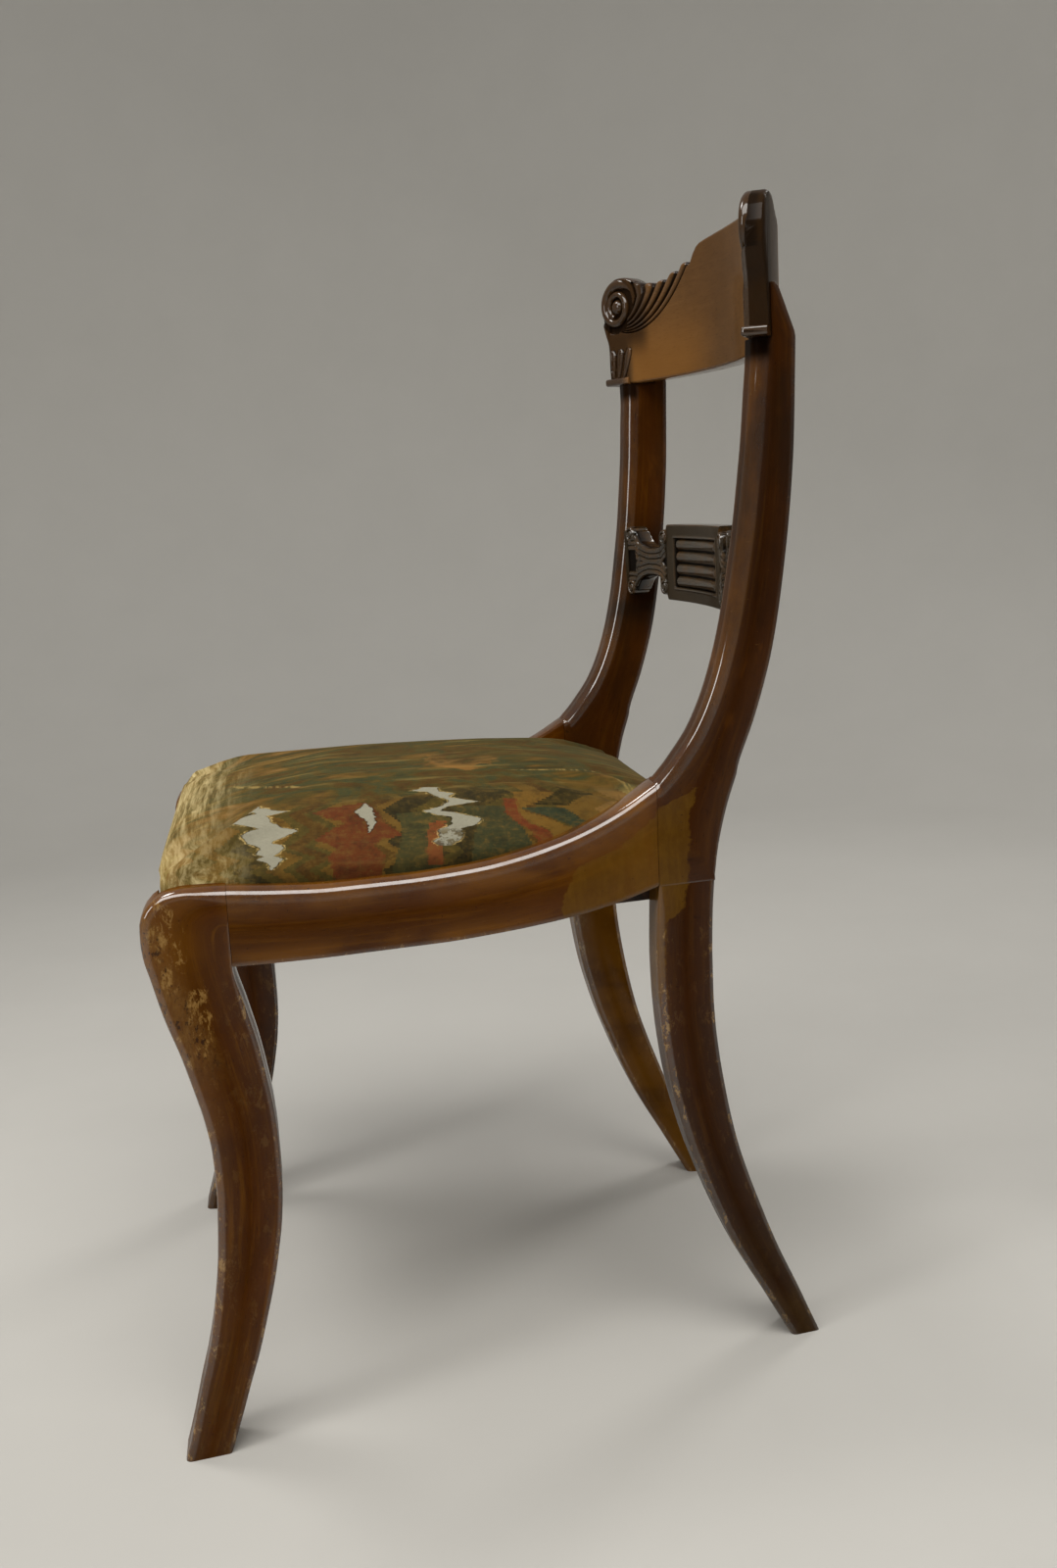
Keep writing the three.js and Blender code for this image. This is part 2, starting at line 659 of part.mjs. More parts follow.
function crestRail() {
  let body = crestBoard();
  for (const hand of [-1, 1]) {
    const base = bentBar(crestBend, {
      from: hand * crestHalf * ledge.inShare, to: hand * crestHalf * ledge.outShare,
      low: crestBottom, high: crestBottom + ledge.height, front: -ledge.rise, back: crest.thickness, steps: 3,
    });
    const sunk = boss(crestBend, hand * eye.s, eye.z, volute.ground, overrun, crest.carving);
    body = body.subtract(sunk).subtract(gadroonFan(hand, true));
    const pieces = [base, gadroonFan(hand), voluteRoll(hand), ...crestLeaf(hand),
      boss(crestBend, hand * eye.s, eye.z, volute.eye, volute.rise, crest.thickness / 2)];
    body = pieces.reduce((rest, piece) => rest.add(piece), body).subtract(crestTenon(hand, fit));
  }
  return geometryOf(largest(body));
}

const middleHeight = THREE.MathUtils.lerp(seatHeight, crestBottom, middle.placeShare);
const middleFront = middle.inset
  + sideDepth * along(uprightShares, (middleHeight - jointTop) / (crestBottom - jointTop));
const middleChord = outerX(middleFront, middleHeight) - side.thickness;
const middleHalf = arcOf(middleChord, middle.radius);
const middleBend = bender(middle.radius, middleChord, middleFront);
const scrollHalf = (share) => (middle.height / 2) * along(scrollOutlineShares, share);

function middleTenon(hand, grow) {
  const end = middleHalf + middle.tenonLength;
  const front = (middle.thickness - middle.tenonThickness) / 2 - grow;
  return bentBar(middleBend, {
    from: hand * (middleHalf - overrun), to: hand * (end + grow),
    low: middleHeight - middle.tenonHeight / 2 - grow, high: middleHeight + middle.tenonHeight / 2 + grow,
    front, back: middle.thickness - front,
  });
}

// Outside of the uprights' inner faces, to trim what ends against them
function uprightSide() {
  return solid(sideBar({
    from: rearJoint, to: sideDepth + side.thickness, low: middleHeight - middle.height / 2 - overrun,
    high: middleHeight + middle.height / 2 + overrun, outer: -side.thickness, inner: side.thickness + fit,
  }));
}

// Two raised strands that follow the hollow of one scroll, and its two round ends
function scrollArm(hand, up) {
  const [inner, outer] = scrollCentreShares;
  const strands = range(1).map((order) => {
    const inset = middle.strandInset + middle.strandPitch * order;
    return rod(middleBend, range(8).map((share) => {
      const place = THREE.MathUtils.lerp(inner[0], outer[0], share);
      const rise = Math.min(scrollHalf(place), (middle.height / 2) * outer[1]) - inset;
      return [hand * middleHalf * place, middleHeight + up * rise, middle.strandRadius,
        middle.strandRadius - middle.strandRise];
    }), 6);
  });
  const ends = scrollCentreShares.map(([place, rise]) => boss(middleBend, hand * middleHalf * place,
    middleHeight + (up * middle.height * rise) / 2, middle.scrollRadius, middle.scrollRise, middle.thickness, 10));
  return [...strands, ...ends];
}

function middleRail() {
  const tabletShare = middle.tabletHalf / middleHalf;
  const scrollPlaces = scrollOutlineShares.filter(([place]) => place > tabletShare);
  const half = [
    ...range(4).map((share) => [tabletShare * share, middle.height / 2]),
    ...scrollPlaces.map(([place]) => [place, scrollHalf(place)]),
    [1 + overrun / middleHalf, scrollHalf(1)],
  ];
  const stations = [...half.slice(1).reverse().map(([place, rise]) => [-place, rise]), ...half];
  let body = solid(loft(stations.map(([place, rise]) => [[rise, 0], [rise, middle.thickness],
    [-rise, middle.thickness], [-rise, 0]]
    .map(([z, depth]) => middleBend(middleHalf * place, middleHeight + z, depth)))));
  body = body.subtract(bentBar(middleBend, {
    from: -middle.panelHalf, to: middle.panelHalf, low: middleHeight - middle.panelHeight / 2,
    high: middleHeight + middle.panelHeight / 2, front: -overrun, back: middle.panelDepth, steps: 8,
  }));
  const pitch = middle.panelHeight / middle.reeds;
  for (let i = 0; i < middle.reeds; i += 1) {
    const z = middleHeight - middle.panelHeight / 2 + pitch * (i + 1 / 2);
    const reach = middle.panelHalf - middle.reedRadius / 2;
    body = body.add(rod(middleBend, range(6).map((share) => [reach * (2 * share - 1), z, middle.reedRadius,
      middle.reedRadius - middle.reedRise]), 8));
  }
  for (const hand of [-1, 1]) {
    for (const up of [-1, 1]) body = scrollArm(hand, up).reduce((rest, piece) => rest.add(piece), body);
  }
  const trim = uprightSide();
  const trimmed = body.subtract(trim).subtract(trim.mirror([1, 0, 0]));
  return geometryOf(trimmed.add(middleTenon(1, 0)).add(middleTenon(-1, 0)));
}

// Rear leg and upright in one piece, cut away in front of its tongue to seat the crest
function rearLeg() {
  const low = { thickness: side.thickness, frontRound: side.legRound, backRound: side.legRound / 2 };
  const high = { ...low, frontRound: side.edgeRound };
  const jointLow = railUnderside(rearJoint);
  const backAt = (share) => sideDepth * share;
  const leg = rearLegShares
    .filter(([zShare]) => seatHeight * zShare < jointLow - overrun)
    .map(([zShare, front, back]) => legSection({
      z: seatHeight * zShare, front: backAt(front), back: backAt(back), ...low }));
  const joint = jointBackShares.map(([zShare, back]) => legSection({
    z: jointLow + (jointTop - jointLow) * zShare, front: rearJoint, back: backAt(back), ...low,
    frontRound: side.legRound / 4 }));
  const twist = (zShare) => side.backTwist * zShare ** 2;
  const upright = uprightShares.map(([zShare, front, back]) => legSection({
    z: jointTop + (crestBottom - jointTop) * zShare, front: backAt(front), back: backAt(back),
    twist: twist(zShare), ...high }));
  const topFront = backAt(uprightShares[uprightShares.length - 1][1]);
  const tongue = tongueShares.map(([zShare, back]) => legSection({
    z: crestBottom + crest.lapRise * zShare, front: topFront, back: backAt(back), twist: twist(1), ...high }));
  const crestSeat = bentBar(crestBend, {
    from: crestHalf / 2, to: crestHalf + side.thickness, low: crestBottom - fit,
    high: crestBottom + crest.height, front: -side.thickness, back: crest.thickness + fit, steps: 8,
  });
  return geometryOf(solid(loft([...leg, ...joint, ...upright, ...tongue]))
    .subtract(crestSeat)
    .subtract(middleTenon(1, fit))
    .subtract(solid(rearTenon(fit)))
    .subtract(seatRailTenon(rearRailFront, rearLegInner, fit))
    .add(crestTenon(1, 0)));
}

// A slotted countersunk screw, or the hole for one, with its head at the origin
function screwBody() {
  const profile = [[0, 0], [screw.head, 0], [screw.shank, -screw.headHeight],
    [screw.shank, -screw.length + screw.head], [0, -screw.length]];
  const turned = new THREE.LatheGeometry(profile.map(([x, y]) => new THREE.Vector2(x, y)).reverse(), 10);
  const slot = box(new THREE.Vector3(-screw.head * 2, -screw.slotDepth, -screw.slotWidth / 2),
    new THREE.Vector3(screw.head * 2, overrun, screw.slotWidth / 2));
  return solid(turned).subtract(solid(slot));
}

function screwHole() {
  const profile = [[0, block.leg], [screw.head + fit, block.leg], [screw.head + fit, -screw.headHeight],
    [screw.shank + fit, -screw.headHeight - fit], [screw.shank + fit, -screw.length - fit], [0, -screw.length - fit]];
  return solid(new THREE.LatheGeometry(profile.map(([x, y]) => new THREE.Vector2(x, y)).reverse(), 10));
}

// The left block of one corner, and where its two screws go
function cornerBlock(rear) {
  const top = ledgeHeight - block.drop;
  const railFace = rear ? rearRailFront - fit : frontRailFront + seatRail.thickness + fit;
  const away = rear ? -1 : 1;
  const inner = (y) => (rear ? rearLegInner(y) : frontLegInner(y)) - fit;
  const railInner = (y) => rearLegInner(y) - fit;
  const far = railFace + away * block.leg;
  const jog = side.frontJoint + fit;
  const plan = [[inner(railFace), railFace], ...(rear ? [] : [[inner(jog), jog], [railInner(jog), jog]]),
    [railInner(far), far], [inner(railFace) - block.leg, railFace]];
  const body = solid(loft([top - block.height, top].map((z) => plan.map(([x, y]) => new THREE.Vector3(x, y, z)))));
  const z = top - block.screwDrop;
  const depth = block.leg - block.screwPlace - screw.sink;
  const y = railFace + away * block.screwPlace;
  const x = inner(railFace) - block.screwPlace;
  const places = [
    { name: 'side', at: [railInner(y) - depth, y, z], turn: [0, 0, Math.PI / 2] },
    { name: 'end', at: [x, railFace + away * depth, z], turn: [0, 0, rear ? Math.PI : 0] },
  ];
  return { body, places };
}

const degrees = (turn) => turn.map((angle) => THREE.MathUtils.radToDeg(angle));
const placed = (body, { at, turn }) => body.rotate(degrees(turn)).translate(at);

// Half width of the drop-in seat, which draws in between the uprights
function seatHalf(y) {
  const inRails = recessHalf(Math.min(y, rearJoint));
  return inRails - seat.rearDrawShare * Math.max(0, y - rearJoint) - seat.gap;
}

// The seat's outline in plan, kept in by an inset and let out at the front and back
function seatOutline(inset, bulge = 0) {
  const front = rebate.frontSetback + seat.gap + inset;
  const back = rearReach - inset;
  const half = (y) => seatHalf(y) - inset;
  const corner = (radius, y, towards, sweep) => range(3).map((share) => {
    const angle = (Math.PI / 2) * (towards > 0 ? share : share - 1);
    return [half(y) - radius + radius * Math.cos(angle), y + radius * Math.sin(angle)];
  });
  const frontY = front + seat.frontCorner;
  const backY = back - seat.rearCorner;
  const frontHalf = half(frontY) - seat.frontCorner;
  const backHalf = half(backY) - seat.rearCorner;
  const swell = (x, reach) => bulge * Math.max(0, 1 - (x / reach) ** 6);
  const right = [
    ...range(4).slice(0, -1).map((share) => {
      const x = frontHalf * share;
      return [x, front - seat.frontBulge * swell(x, frontLegInner(front) - seat.frontCorner)];
    }),
    ...corner(seat.frontCorner, frontY, -1),
    ...range(8).slice(1, -1).map((share) => [half(frontY + (backY - frontY) * share), frontY + (backY - frontY) * share]),
    ...corner(seat.rearCorner, backY, 1),
    ...range(3).slice(1).map((share) => {
      const x = backHalf * (1 - share);
      return [x, back + seat.rearBulge * swell(x, backHalf)];
    }),
  ];
  const left = right.slice(1, -1).reverse().map(([x, y]) => [-x, y]);
  return [...right, ...left];
}

const frameTop = ledgeHeight + fit + seat.frameThickness;
const webLow = frameTop + fit + seat.webThickness / 2;
const webHigh = webLow + seat.webThickness + fit;
const hessianLow = webHigh + seat.webThickness / 2 + fit;
const padLow = hessianLow + seat.hessian + fit;
const seatMiddle = (rebate.frontSetback + rearReach) / 2;
const seatEdge = seatHeight + seat.edgeRise;
const seatCrown = seatEdge + seat.crownRise;
const frameInset = seat.cloth + fit;

function seatPlate(inset, low, high) {
  return solid(loft([low, high].map((z) => seatOutline(inset).map(([x, y]) => new THREE.Vector3(x, y, z)))));
}

// The beech frame of the seat: front and rear members mortised for the two side members
function seatFrame() {
  const low = ledgeHeight + fit;
  const frontLine = rebate.frontSetback + seat.endMember;
  const backLine = rearReach - seat.endMember;
  const wide = frontWidth;
  const opening = loft([low - overrun, frameTop + overrun].map((z) => [
    [seatHalf(frontLine) - seat.sideMember, frontLine], [seatHalf(seatMiddle) - seat.sideMember, seatMiddle],
    [seatHalf(backLine) - seat.sideMember, backLine], [-seatHalf(backLine) + seat.sideMember, backLine],
    [-seatHalf(seatMiddle) + seat.sideMember, seatMiddle], [-seatHalf(frontLine) + seat.sideMember, frontLine],
  ].map(([x, y]) => new THREE.Vector3(x, y, z))));
  const ring = seatPlate(frameInset, low, frameTop).subtract(solid(opening));
  const slab = (from, to) => solid(box(new THREE.Vector3(-wide, from, low - overrun),
    new THREE.Vector3(wide, to, frameTop + overrun)));
  const tenon = (hand, line, grow) => {
    const outer = hand * (seatHalf(line) - frameInset - seat.sideMember / 4);
    const inner = outer - (hand * seat.sideMember) / 2;
    const third = seat.frameThickness / 3;
    return solid(box(
      new THREE.Vector3(Math.min(outer, inner) - grow, line - seat.tenonLength - grow, low + third - grow),
      new THREE.Vector3(Math.max(outer, inner) + grow, line + seat.tenonLength + grow, frameTop - third + grow)));
  };
  const sideSlab = slab(frontLine + fit, backLine);
  const sides = ring.intersect(sideSlab);
  const half = (hand) => solid(box(new THREE.Vector3(Math.min(0, hand * wide), 0, low - overrun),
    new THREE.Vector3(Math.max(0, hand * wide), sideDepth, frameTop + overrun)));
  const frontTenonPart = slab(frontLine - seat.tenonLength, frontLine + overrun);
  const backTenonPart = slab(backLine - overrun, backLine + seat.tenonLength);
  const member = (hand) => sides.intersect(half(hand))
    .add(tenon(hand, frontLine, 0).intersect(frontTenonPart))
    .add(tenon(hand, backLine, 0).intersect(backTenonPart));
  const mortised = (body, line) => body.subtract(tenon(1, line, fit)).subtract(tenon(-1, line, fit));
  return {
    seat_frame_front: mortised(ring.intersect(slab(0, frontLine)), frontLine),
    seat_frame_rear: mortised(ring.intersect(slab(backLine + fit, sideDepth)), backLine),
    seat_frame_left: member(1),
    seat_frame_right: member(-1),
  };
}

// Interlaced webbing: a strap's rises and falls, from the places that it crosses
function strap(from, to, crossings, toPoint) {
  const reach = seat.webWidth / 2 + seat.webThickness;
  const path = [[from, webLow], ...crossings.flatMap(([place, over]) => {
    const z = over ? webHigh : webLow;
    return [[place - reach, z], [place + reach, z]];
  }), [to, webLow]];
  return loft(path.map(([place, z]) => [[-1, -1], [1, -1], [1, 1], [-1, 1]].map(([across, up]) =>
    toPoint(place, (across * seat.webWidth) / 2, z + (up * seat.webThickness) / 2))));
}

function addWebbing() {
  const frontLine = rebate.frontSetback + seat.endMember;
  const backLine = rearReach - seat.endMember;
  const columns = webColumnShares.map((share) => share * seatHalf(backLine));
  const rows = webRowShares.map((share) => THREE.MathUtils.lerp(frontLine, backLine, share));
  columns.forEach((x, i) => addPiece(`webbing_fore_aft_${i + 1}`, strap(
    frontLine - seat.webLap, backLine + seat.webLap, rows.map((y, j) => [y, (i + j) % 2 === 0]),
    (y, across, z) => new THREE.Vector3(x + across, y, z)), jute));
  rows.forEach((y, j) => {
    const half = seatHalf(y + seat.webWidth / 2) - seat.sideMember + seat.webLap;
    addPiece(`webbing_cross_${j + 1}`, strap(-half, half, columns.map((x, i) => [x, (i + j) % 2 === 1]),
      (x, across, z) => new THREE.Vector3(x, y + across, z)), jute);
  });
}

// Rings of the crowned top, from the lower edge of its sides to the middle
function crownRings(inset, low, drop) {
  const sides = crownSideShares.map(([inShare, upShare, bulge]) => {
    const z = THREE.MathUtils.lerp(seatHeight, seatEdge, upShare) - drop * inShare;
    return seatOutline(inset + seat.frontCorner * inShare, bulge).map(([x, y]) => new THREE.Vector3(x, y, z));
  });
  const rim = sides[sides.length - 1];
  const widest = Math.max(...rim.map((p) => p.x));
  const deepest = (rearReach - rebate.frontSetback) / 2;
  const top = crownShares.map((share) => rim.map((p) => {
    const corner = Math.max(1, Math.hypot(p.x / widest, (p.y - seatMiddle) / deepest));
    const reach = share * corner ** (share - 1);
    const rise = (seatCrown - seatEdge) * (1 - share ** crownCurveShare);
    return new THREE.Vector3(p.x * reach, THREE.MathUtils.lerp(seatMiddle, p.y, reach), seatEdge + rise - drop);
  }));
  const foot = seatOutline(inset).map(([x, y]) => new THREE.Vector3(x, y, low));
  return [foot, ...sides, ...top];
}

// Bands of triangles between rings, then a fan to the middle point
function crownSkin(rings, offset) {
  const size = rings[0].length;
  const triangles = [];
  for (let r = 0; r < rings.length - 1; r += 1) {
    for (let i = 0; i < size; i += 1) {
      const a = offset + r * size + i;
      const b = offset + r * size + ((i + 1) % size);
      triangles.push([a, b, b + size], [a, b + size, a + size]);
    }
  }
  const last = offset + (rings.length - 1) * size;
  const centre = offset + rings.length * size;
  for (let i = 0; i < size; i += 1) triangles.push([last + i, last + ((i + 1) % size), centre]);
  return triangles;
}

function seatPad() {
  const rings = crownRings(seat.cloth + fit, padLow, seat.cloth + fit);
  const size = rings[0].length;
  const top = new THREE.Vector3(0, seatMiddle, seatCrown - seat.cloth - fit);
  const bottom = new THREE.Vector3(0, seatMiddle, padLow);
  const points = [...rings.flat(), top, bottom];
  const triangles = crownSkin(rings, 0);
  for (let i = 0; i < size; i += 1) triangles.push([(i + 1) % size, i, points.length - 1]);
  return closedBody(points, triangles);
}

function seatCover() {
  const low = ledgeHeight + fit;
  const outer = crownRings(0, low, 0);
  const inner = crownRings(seat.cloth, low, seat.cloth);
  const size = outer[0].length;
  const outerPoints = [...outer.flat(), new THREE.Vector3(0, seatMiddle, seatCrown)];
  const innerPoints = [...inner.flat(), new THREE.Vector3(0, seatMiddle, seatCrown - seat.cloth)];
  const offset = outerPoints.length;
  const triangles = crownSkin(outer, 0);
  for (const [a, b, c] of crownSkin(inner, offset)) triangles.push([a, c, b]);
  for (let i = 0; i < size; i += 1) {
    const next = (i + 1) % size;
    triangles.push([i, i + offset, next + offset], [i, next + offset, next]);
  }
  return closedBody([...outerPoints, ...innerPoints], triangles);
}

function addBlocksAndScrews() {
  const holes = { left: [], front: [], rear: [] };
  for (const rear of [false, true]) {
    const end = rear ? 'rear' : 'front';
    const { body, places } = cornerBlock(rear);
    const cuts = places.map((place) => placed(screwHole(), place));
    holes.left.push(cuts[0]);
    holes[end].push(cuts[1], cuts[1].mirror([1, 0, 0]));
    addPair(`${end}_corner_block`, geometryOf(body.subtract(cuts[0]).subtract(cuts[1])), stainedBeech);
    for (const place of places) {
      addPair(`${end}_block_screw_${place.name}`, geometryOf(placed(screwBody(), place)), steel);
    }
  }
  return holes;
}

const holes = addBlocksAndScrews();
const bored = (body, cuts) => geometryOf(cuts.reduce((rest, cut) => rest.subtract(cut), body));

addPair('rear_leg', rearLeg(), mahogany);
addPair('front_leg', frontLeg(), mahogany);
addPair('side_rail', sideRail(holes.left), mahogany);
addPiece('front_seat_rail', bored(seatRailBody(frontRailFront, frontLegInner), holes.front), mahogany);
addPiece('rear_seat_rail', bored(seatRailBody(rearRailFront, rearLegInner), holes.rear), mahogany);
addPiece('crest_rail', crestRail(), carvedMahogany);
addPiece('middle_rail', middleRail(), carvedMahogany);
for (const [name, body] of Object.entries(seatFrame())) addPiece(name, geometryOf(body), beech);
addWebbing();
addPiece('seat_hessian', geometryOf(seatPlate(frameInset + seat.frontCorner, hessianLow, hessianLow + seat.hessian)), jute);
addPiece('seat_pad', seatPad(), stuffing);
addPiece('seat_cover', seatCover(), velvet);

// The origin is on the floor under the middle of the chair
const reach = new THREE.Box3().setFromObject(chair);
chair.position.set(-(reach.min.x + reach.max.x) / 2, -(reach.min.y + reach.max.y) / 2, -reach.min.z);

export default chair;
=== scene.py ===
# %% [markdown]
# A side chair with sabre legs, carved rails and a loose velvet seat.
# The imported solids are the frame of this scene. Every piece is made in metres, in the
# frame's own coordinates, so that it lands where its solid is. The chair faces -Y.

# %% Load the frame
import math
import bpy
import bmesh
import numpy as np
from mathutils import Matrix, Vector
from mathutils.kdtree import KDTree


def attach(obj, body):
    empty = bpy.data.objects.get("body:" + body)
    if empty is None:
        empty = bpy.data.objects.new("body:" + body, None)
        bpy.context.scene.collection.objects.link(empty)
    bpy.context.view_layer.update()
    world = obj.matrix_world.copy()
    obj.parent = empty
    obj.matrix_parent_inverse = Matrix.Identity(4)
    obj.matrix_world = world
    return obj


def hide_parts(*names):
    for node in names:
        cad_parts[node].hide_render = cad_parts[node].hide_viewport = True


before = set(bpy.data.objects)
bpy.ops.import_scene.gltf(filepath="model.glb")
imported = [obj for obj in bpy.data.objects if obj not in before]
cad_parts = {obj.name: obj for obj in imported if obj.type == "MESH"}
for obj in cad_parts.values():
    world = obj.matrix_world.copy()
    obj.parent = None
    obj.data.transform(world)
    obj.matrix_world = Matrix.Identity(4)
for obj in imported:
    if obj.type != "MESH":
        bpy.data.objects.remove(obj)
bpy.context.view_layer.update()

# %% [markdown]
# The camera stands at the sitter's left, a little in front of the chair and above the
# seat. It could be aimed at a target, but its place, turn and lens were worked out from
# the chair's own outlines, so the three directions of its axes are written directly.

# %% Camera
camera_place = Vector((1.221012, -0.143616, 0.656469))
camera_turn = {"yaw": 2.982, "pitch": 0.184, "roll": -0.052}
camera_lens = 34.885
yaw, pitch, roll = camera_turn.values()
forward = Vector((math.cos(yaw) * math.cos(pitch), math.sin(yaw) * math.cos(pitch), -math.sin(pitch)))
level_right = forward.cross(Vector((0, 0, 1))).normalized()
level_up = level_right.cross(forward)
right = math.cos(roll) * level_right + math.sin(roll) * level_up
up = math.cos(roll) * level_up - math.sin(roll) * level_right
camera_data = bpy.data.cameras.new("camera")
camera_data.lens = camera_lens
camera_data.sensor_fit = "VERTICAL"
camera_data.sensor_height = 36.0
camera = bpy.data.objects.new("camera", camera_data)
bpy.context.scene.collection.objects.link(camera)
turn = Matrix((right, up, -forward)).transposed().to_4x4()
camera.matrix_world = Matrix.Translation(camera_place) @ turn
bpy.context.scene.camera = camera
bpy.context.scene.view_settings.view_transform = "Standard"

# %% [markdown]
# A material is a sum of patterns, and sums read best as sums. Flow wraps one socket, so
# that a + b or 1 - mask adds a Math node. Nodes adds any other node: its type, then its
# settings, then the values or links of its sockets. Both serve shaders and geometry.

# %% Node arithmetic
class Flow:
    def __init__(self, nodes, socket):
        self.nodes, self.socket = nodes, socket

    def math(self, operation, *others):
        return self.nodes.add("ShaderNodeMath", {"operation": operation}, self, *others)

    def __add__(self, other):
        return self.math("ADD", other)

    def __sub__(self, other):
        return self.math("SUBTRACT", other)

    def __mul__(self, other):
        return self.math("MULTIPLY", other)

    def __truediv__(self, other):
        return self.math("DIVIDE", other)

    def __rsub__(self, other):
        return self.nodes.add("ShaderNodeMath", {"operation": "SUBTRACT"}, other, self)

    __radd__ = __add__
    __rmul__ = __mul__

    def step(self, low, high):
        """A smooth rise from 0 at low to 1 at high, or a fall where low is the larger."""
        return self.nodes.add("ShaderNodeMapRange", {"interpolation_type": "SMOOTHSTEP"},
                              self, low, high, 0.0, 1.0)


class Nodes:
    def __init__(self, tree):
        self.tree = tree

    def add(self, kind, settings, *values, out=0, **named):
        node = self.tree.nodes.new(kind)
        for key, value in (settings or {}).items():
            if key == "stops":
                self.fill(node.color_ramp, value)
            elif key == "interpolation":
                node.color_ramp.interpolation = value
            else:
                setattr(node, key, value)
        sockets = {s.identifier.replace(" ", "_"): s for s in node.inputs}
        pairs = list(zip(node.inputs, values)) + [(sockets[key], value) for key, value in named.items()]
        for socket, value in pairs:
            if isinstance(value, Flow):
                self.tree.links.new(value.socket, socket)
            elif value is not None:
                socket.default_value = value
        found = node.outputs[out] if isinstance(out, int) else {s.identifier: s for s in node.outputs}[out]
        return Flow(self, found)

    def fill(self, ramp, stops):
        while len(ramp.elements) < len(stops):
            ramp.elements.new(1.0)
        for element, (place, colour) in zip(ramp.elements, stops):
            element.position, element.color = place, colour

    def mix(self, factor, first, second):
        return self.add("ShaderNodeMix", {"data_type": "RGBA"}, out="Result_Color",
                        Factor_Float=factor, A_Color=first, B_Color=second)

    def vector(self, x, y, z):
        return self.add("ShaderNodeCombineXYZ", None, x, y, z)

    def split(self, vector):
        node = self.tree.nodes.new("ShaderNodeSeparateXYZ")
        self.tree.links.new(vector.socket, node.inputs[0])
        return [Flow(self, socket) for socket in node.outputs]

    def noise(self, place, scale, detail=3.0, roughness=0.5, distortion=0.0, seed=0.0):
        return self.add("ShaderNodeTexNoise", {"noise_dimensions": "4D"}, Vector=place, W=seed, Scale=scale,
                        Detail=detail, Roughness=roughness, Distortion=distortion)


# %% [markdown]
# A finish is built up as a polisher works, one colour laid over another through a mask.
# A picture would fix each stain in its place. Masks can be moved, weakened or laid in
# another order. At the end the colour, the bump and the rest are joined to the shader.

# %% Finishes in layers
def shade(code):
    """A colour written as on a paint card, changed to Blender's linear values."""
    parts = [int(code[i:i + 2], 16) / 255 for i in (0, 2, 4)]
    return (*[p / 12.92 if p <= 0.04045 else ((p + 0.055) / 1.055) ** 2.4 for p in parts], 1.0)


class Finish:
    """A material, its places on the piece, and the colour laid on it so far."""
    def __init__(self, name, colour, roughness, **constants):
        self.material = bpy.data.materials.new(name)
        self.material.use_nodes = True
        self.n = Nodes(self.material.node_tree)
        self.shader = self.material.node_tree.nodes["Principled BSDF"]
        for key, value in {"Base_Color": shade(colour), "Roughness": roughness, **constants}.items():
            self.shader.inputs[key.replace("_", " ")].default_value = value
        self.place = self.n.add("ShaderNodeTexCoord", None, out=3)
        self.x, self.y, self.z = self.n.split(self.place)
        self.tone = shade(colour)

    def kept(self, key, out):
        """What a mesh keeps at its points under a key: out is 1 for a vector and 2 for a number."""
        return self.n.add("ShaderNodeAttribute", {"attribute_name": key}, out=out)

    def lay(self, mask, colour):
        self.tone = self.n.mix(mask, self.tone, shade(colour) if isinstance(colour, str) else colour)

    def done(self, bump=None, **flows):
        """Joins what was laid to the shader; bump is a strength, a distance and a height."""
        flows["Base_Color"] = self.tone
        if bump:
            strength, distance, height = bump
            flows["Normal"] = self.n.add("ShaderNodeBump", None, Strength=strength, Distance=distance,
                                         Height=height)
        for key, flow in flows.items():
            self.n.tree.links.new(flow.socket, self.shader.inputs[key.replace("_", " ")])
        return self.material


# %% [markdown]
# Old French-polished mahogany is dark red-brown, with long streaks and fine dark pores
# along the grain, under a thin glossy coat that rubbing has kept bright on the edges and
# thinned where it has gone furthest. A picture of wood would repeat and stretch. Noise
# stretched along the grain runs through the piece as real grain does, so each piece
# carries its own grain directions as an attribute.

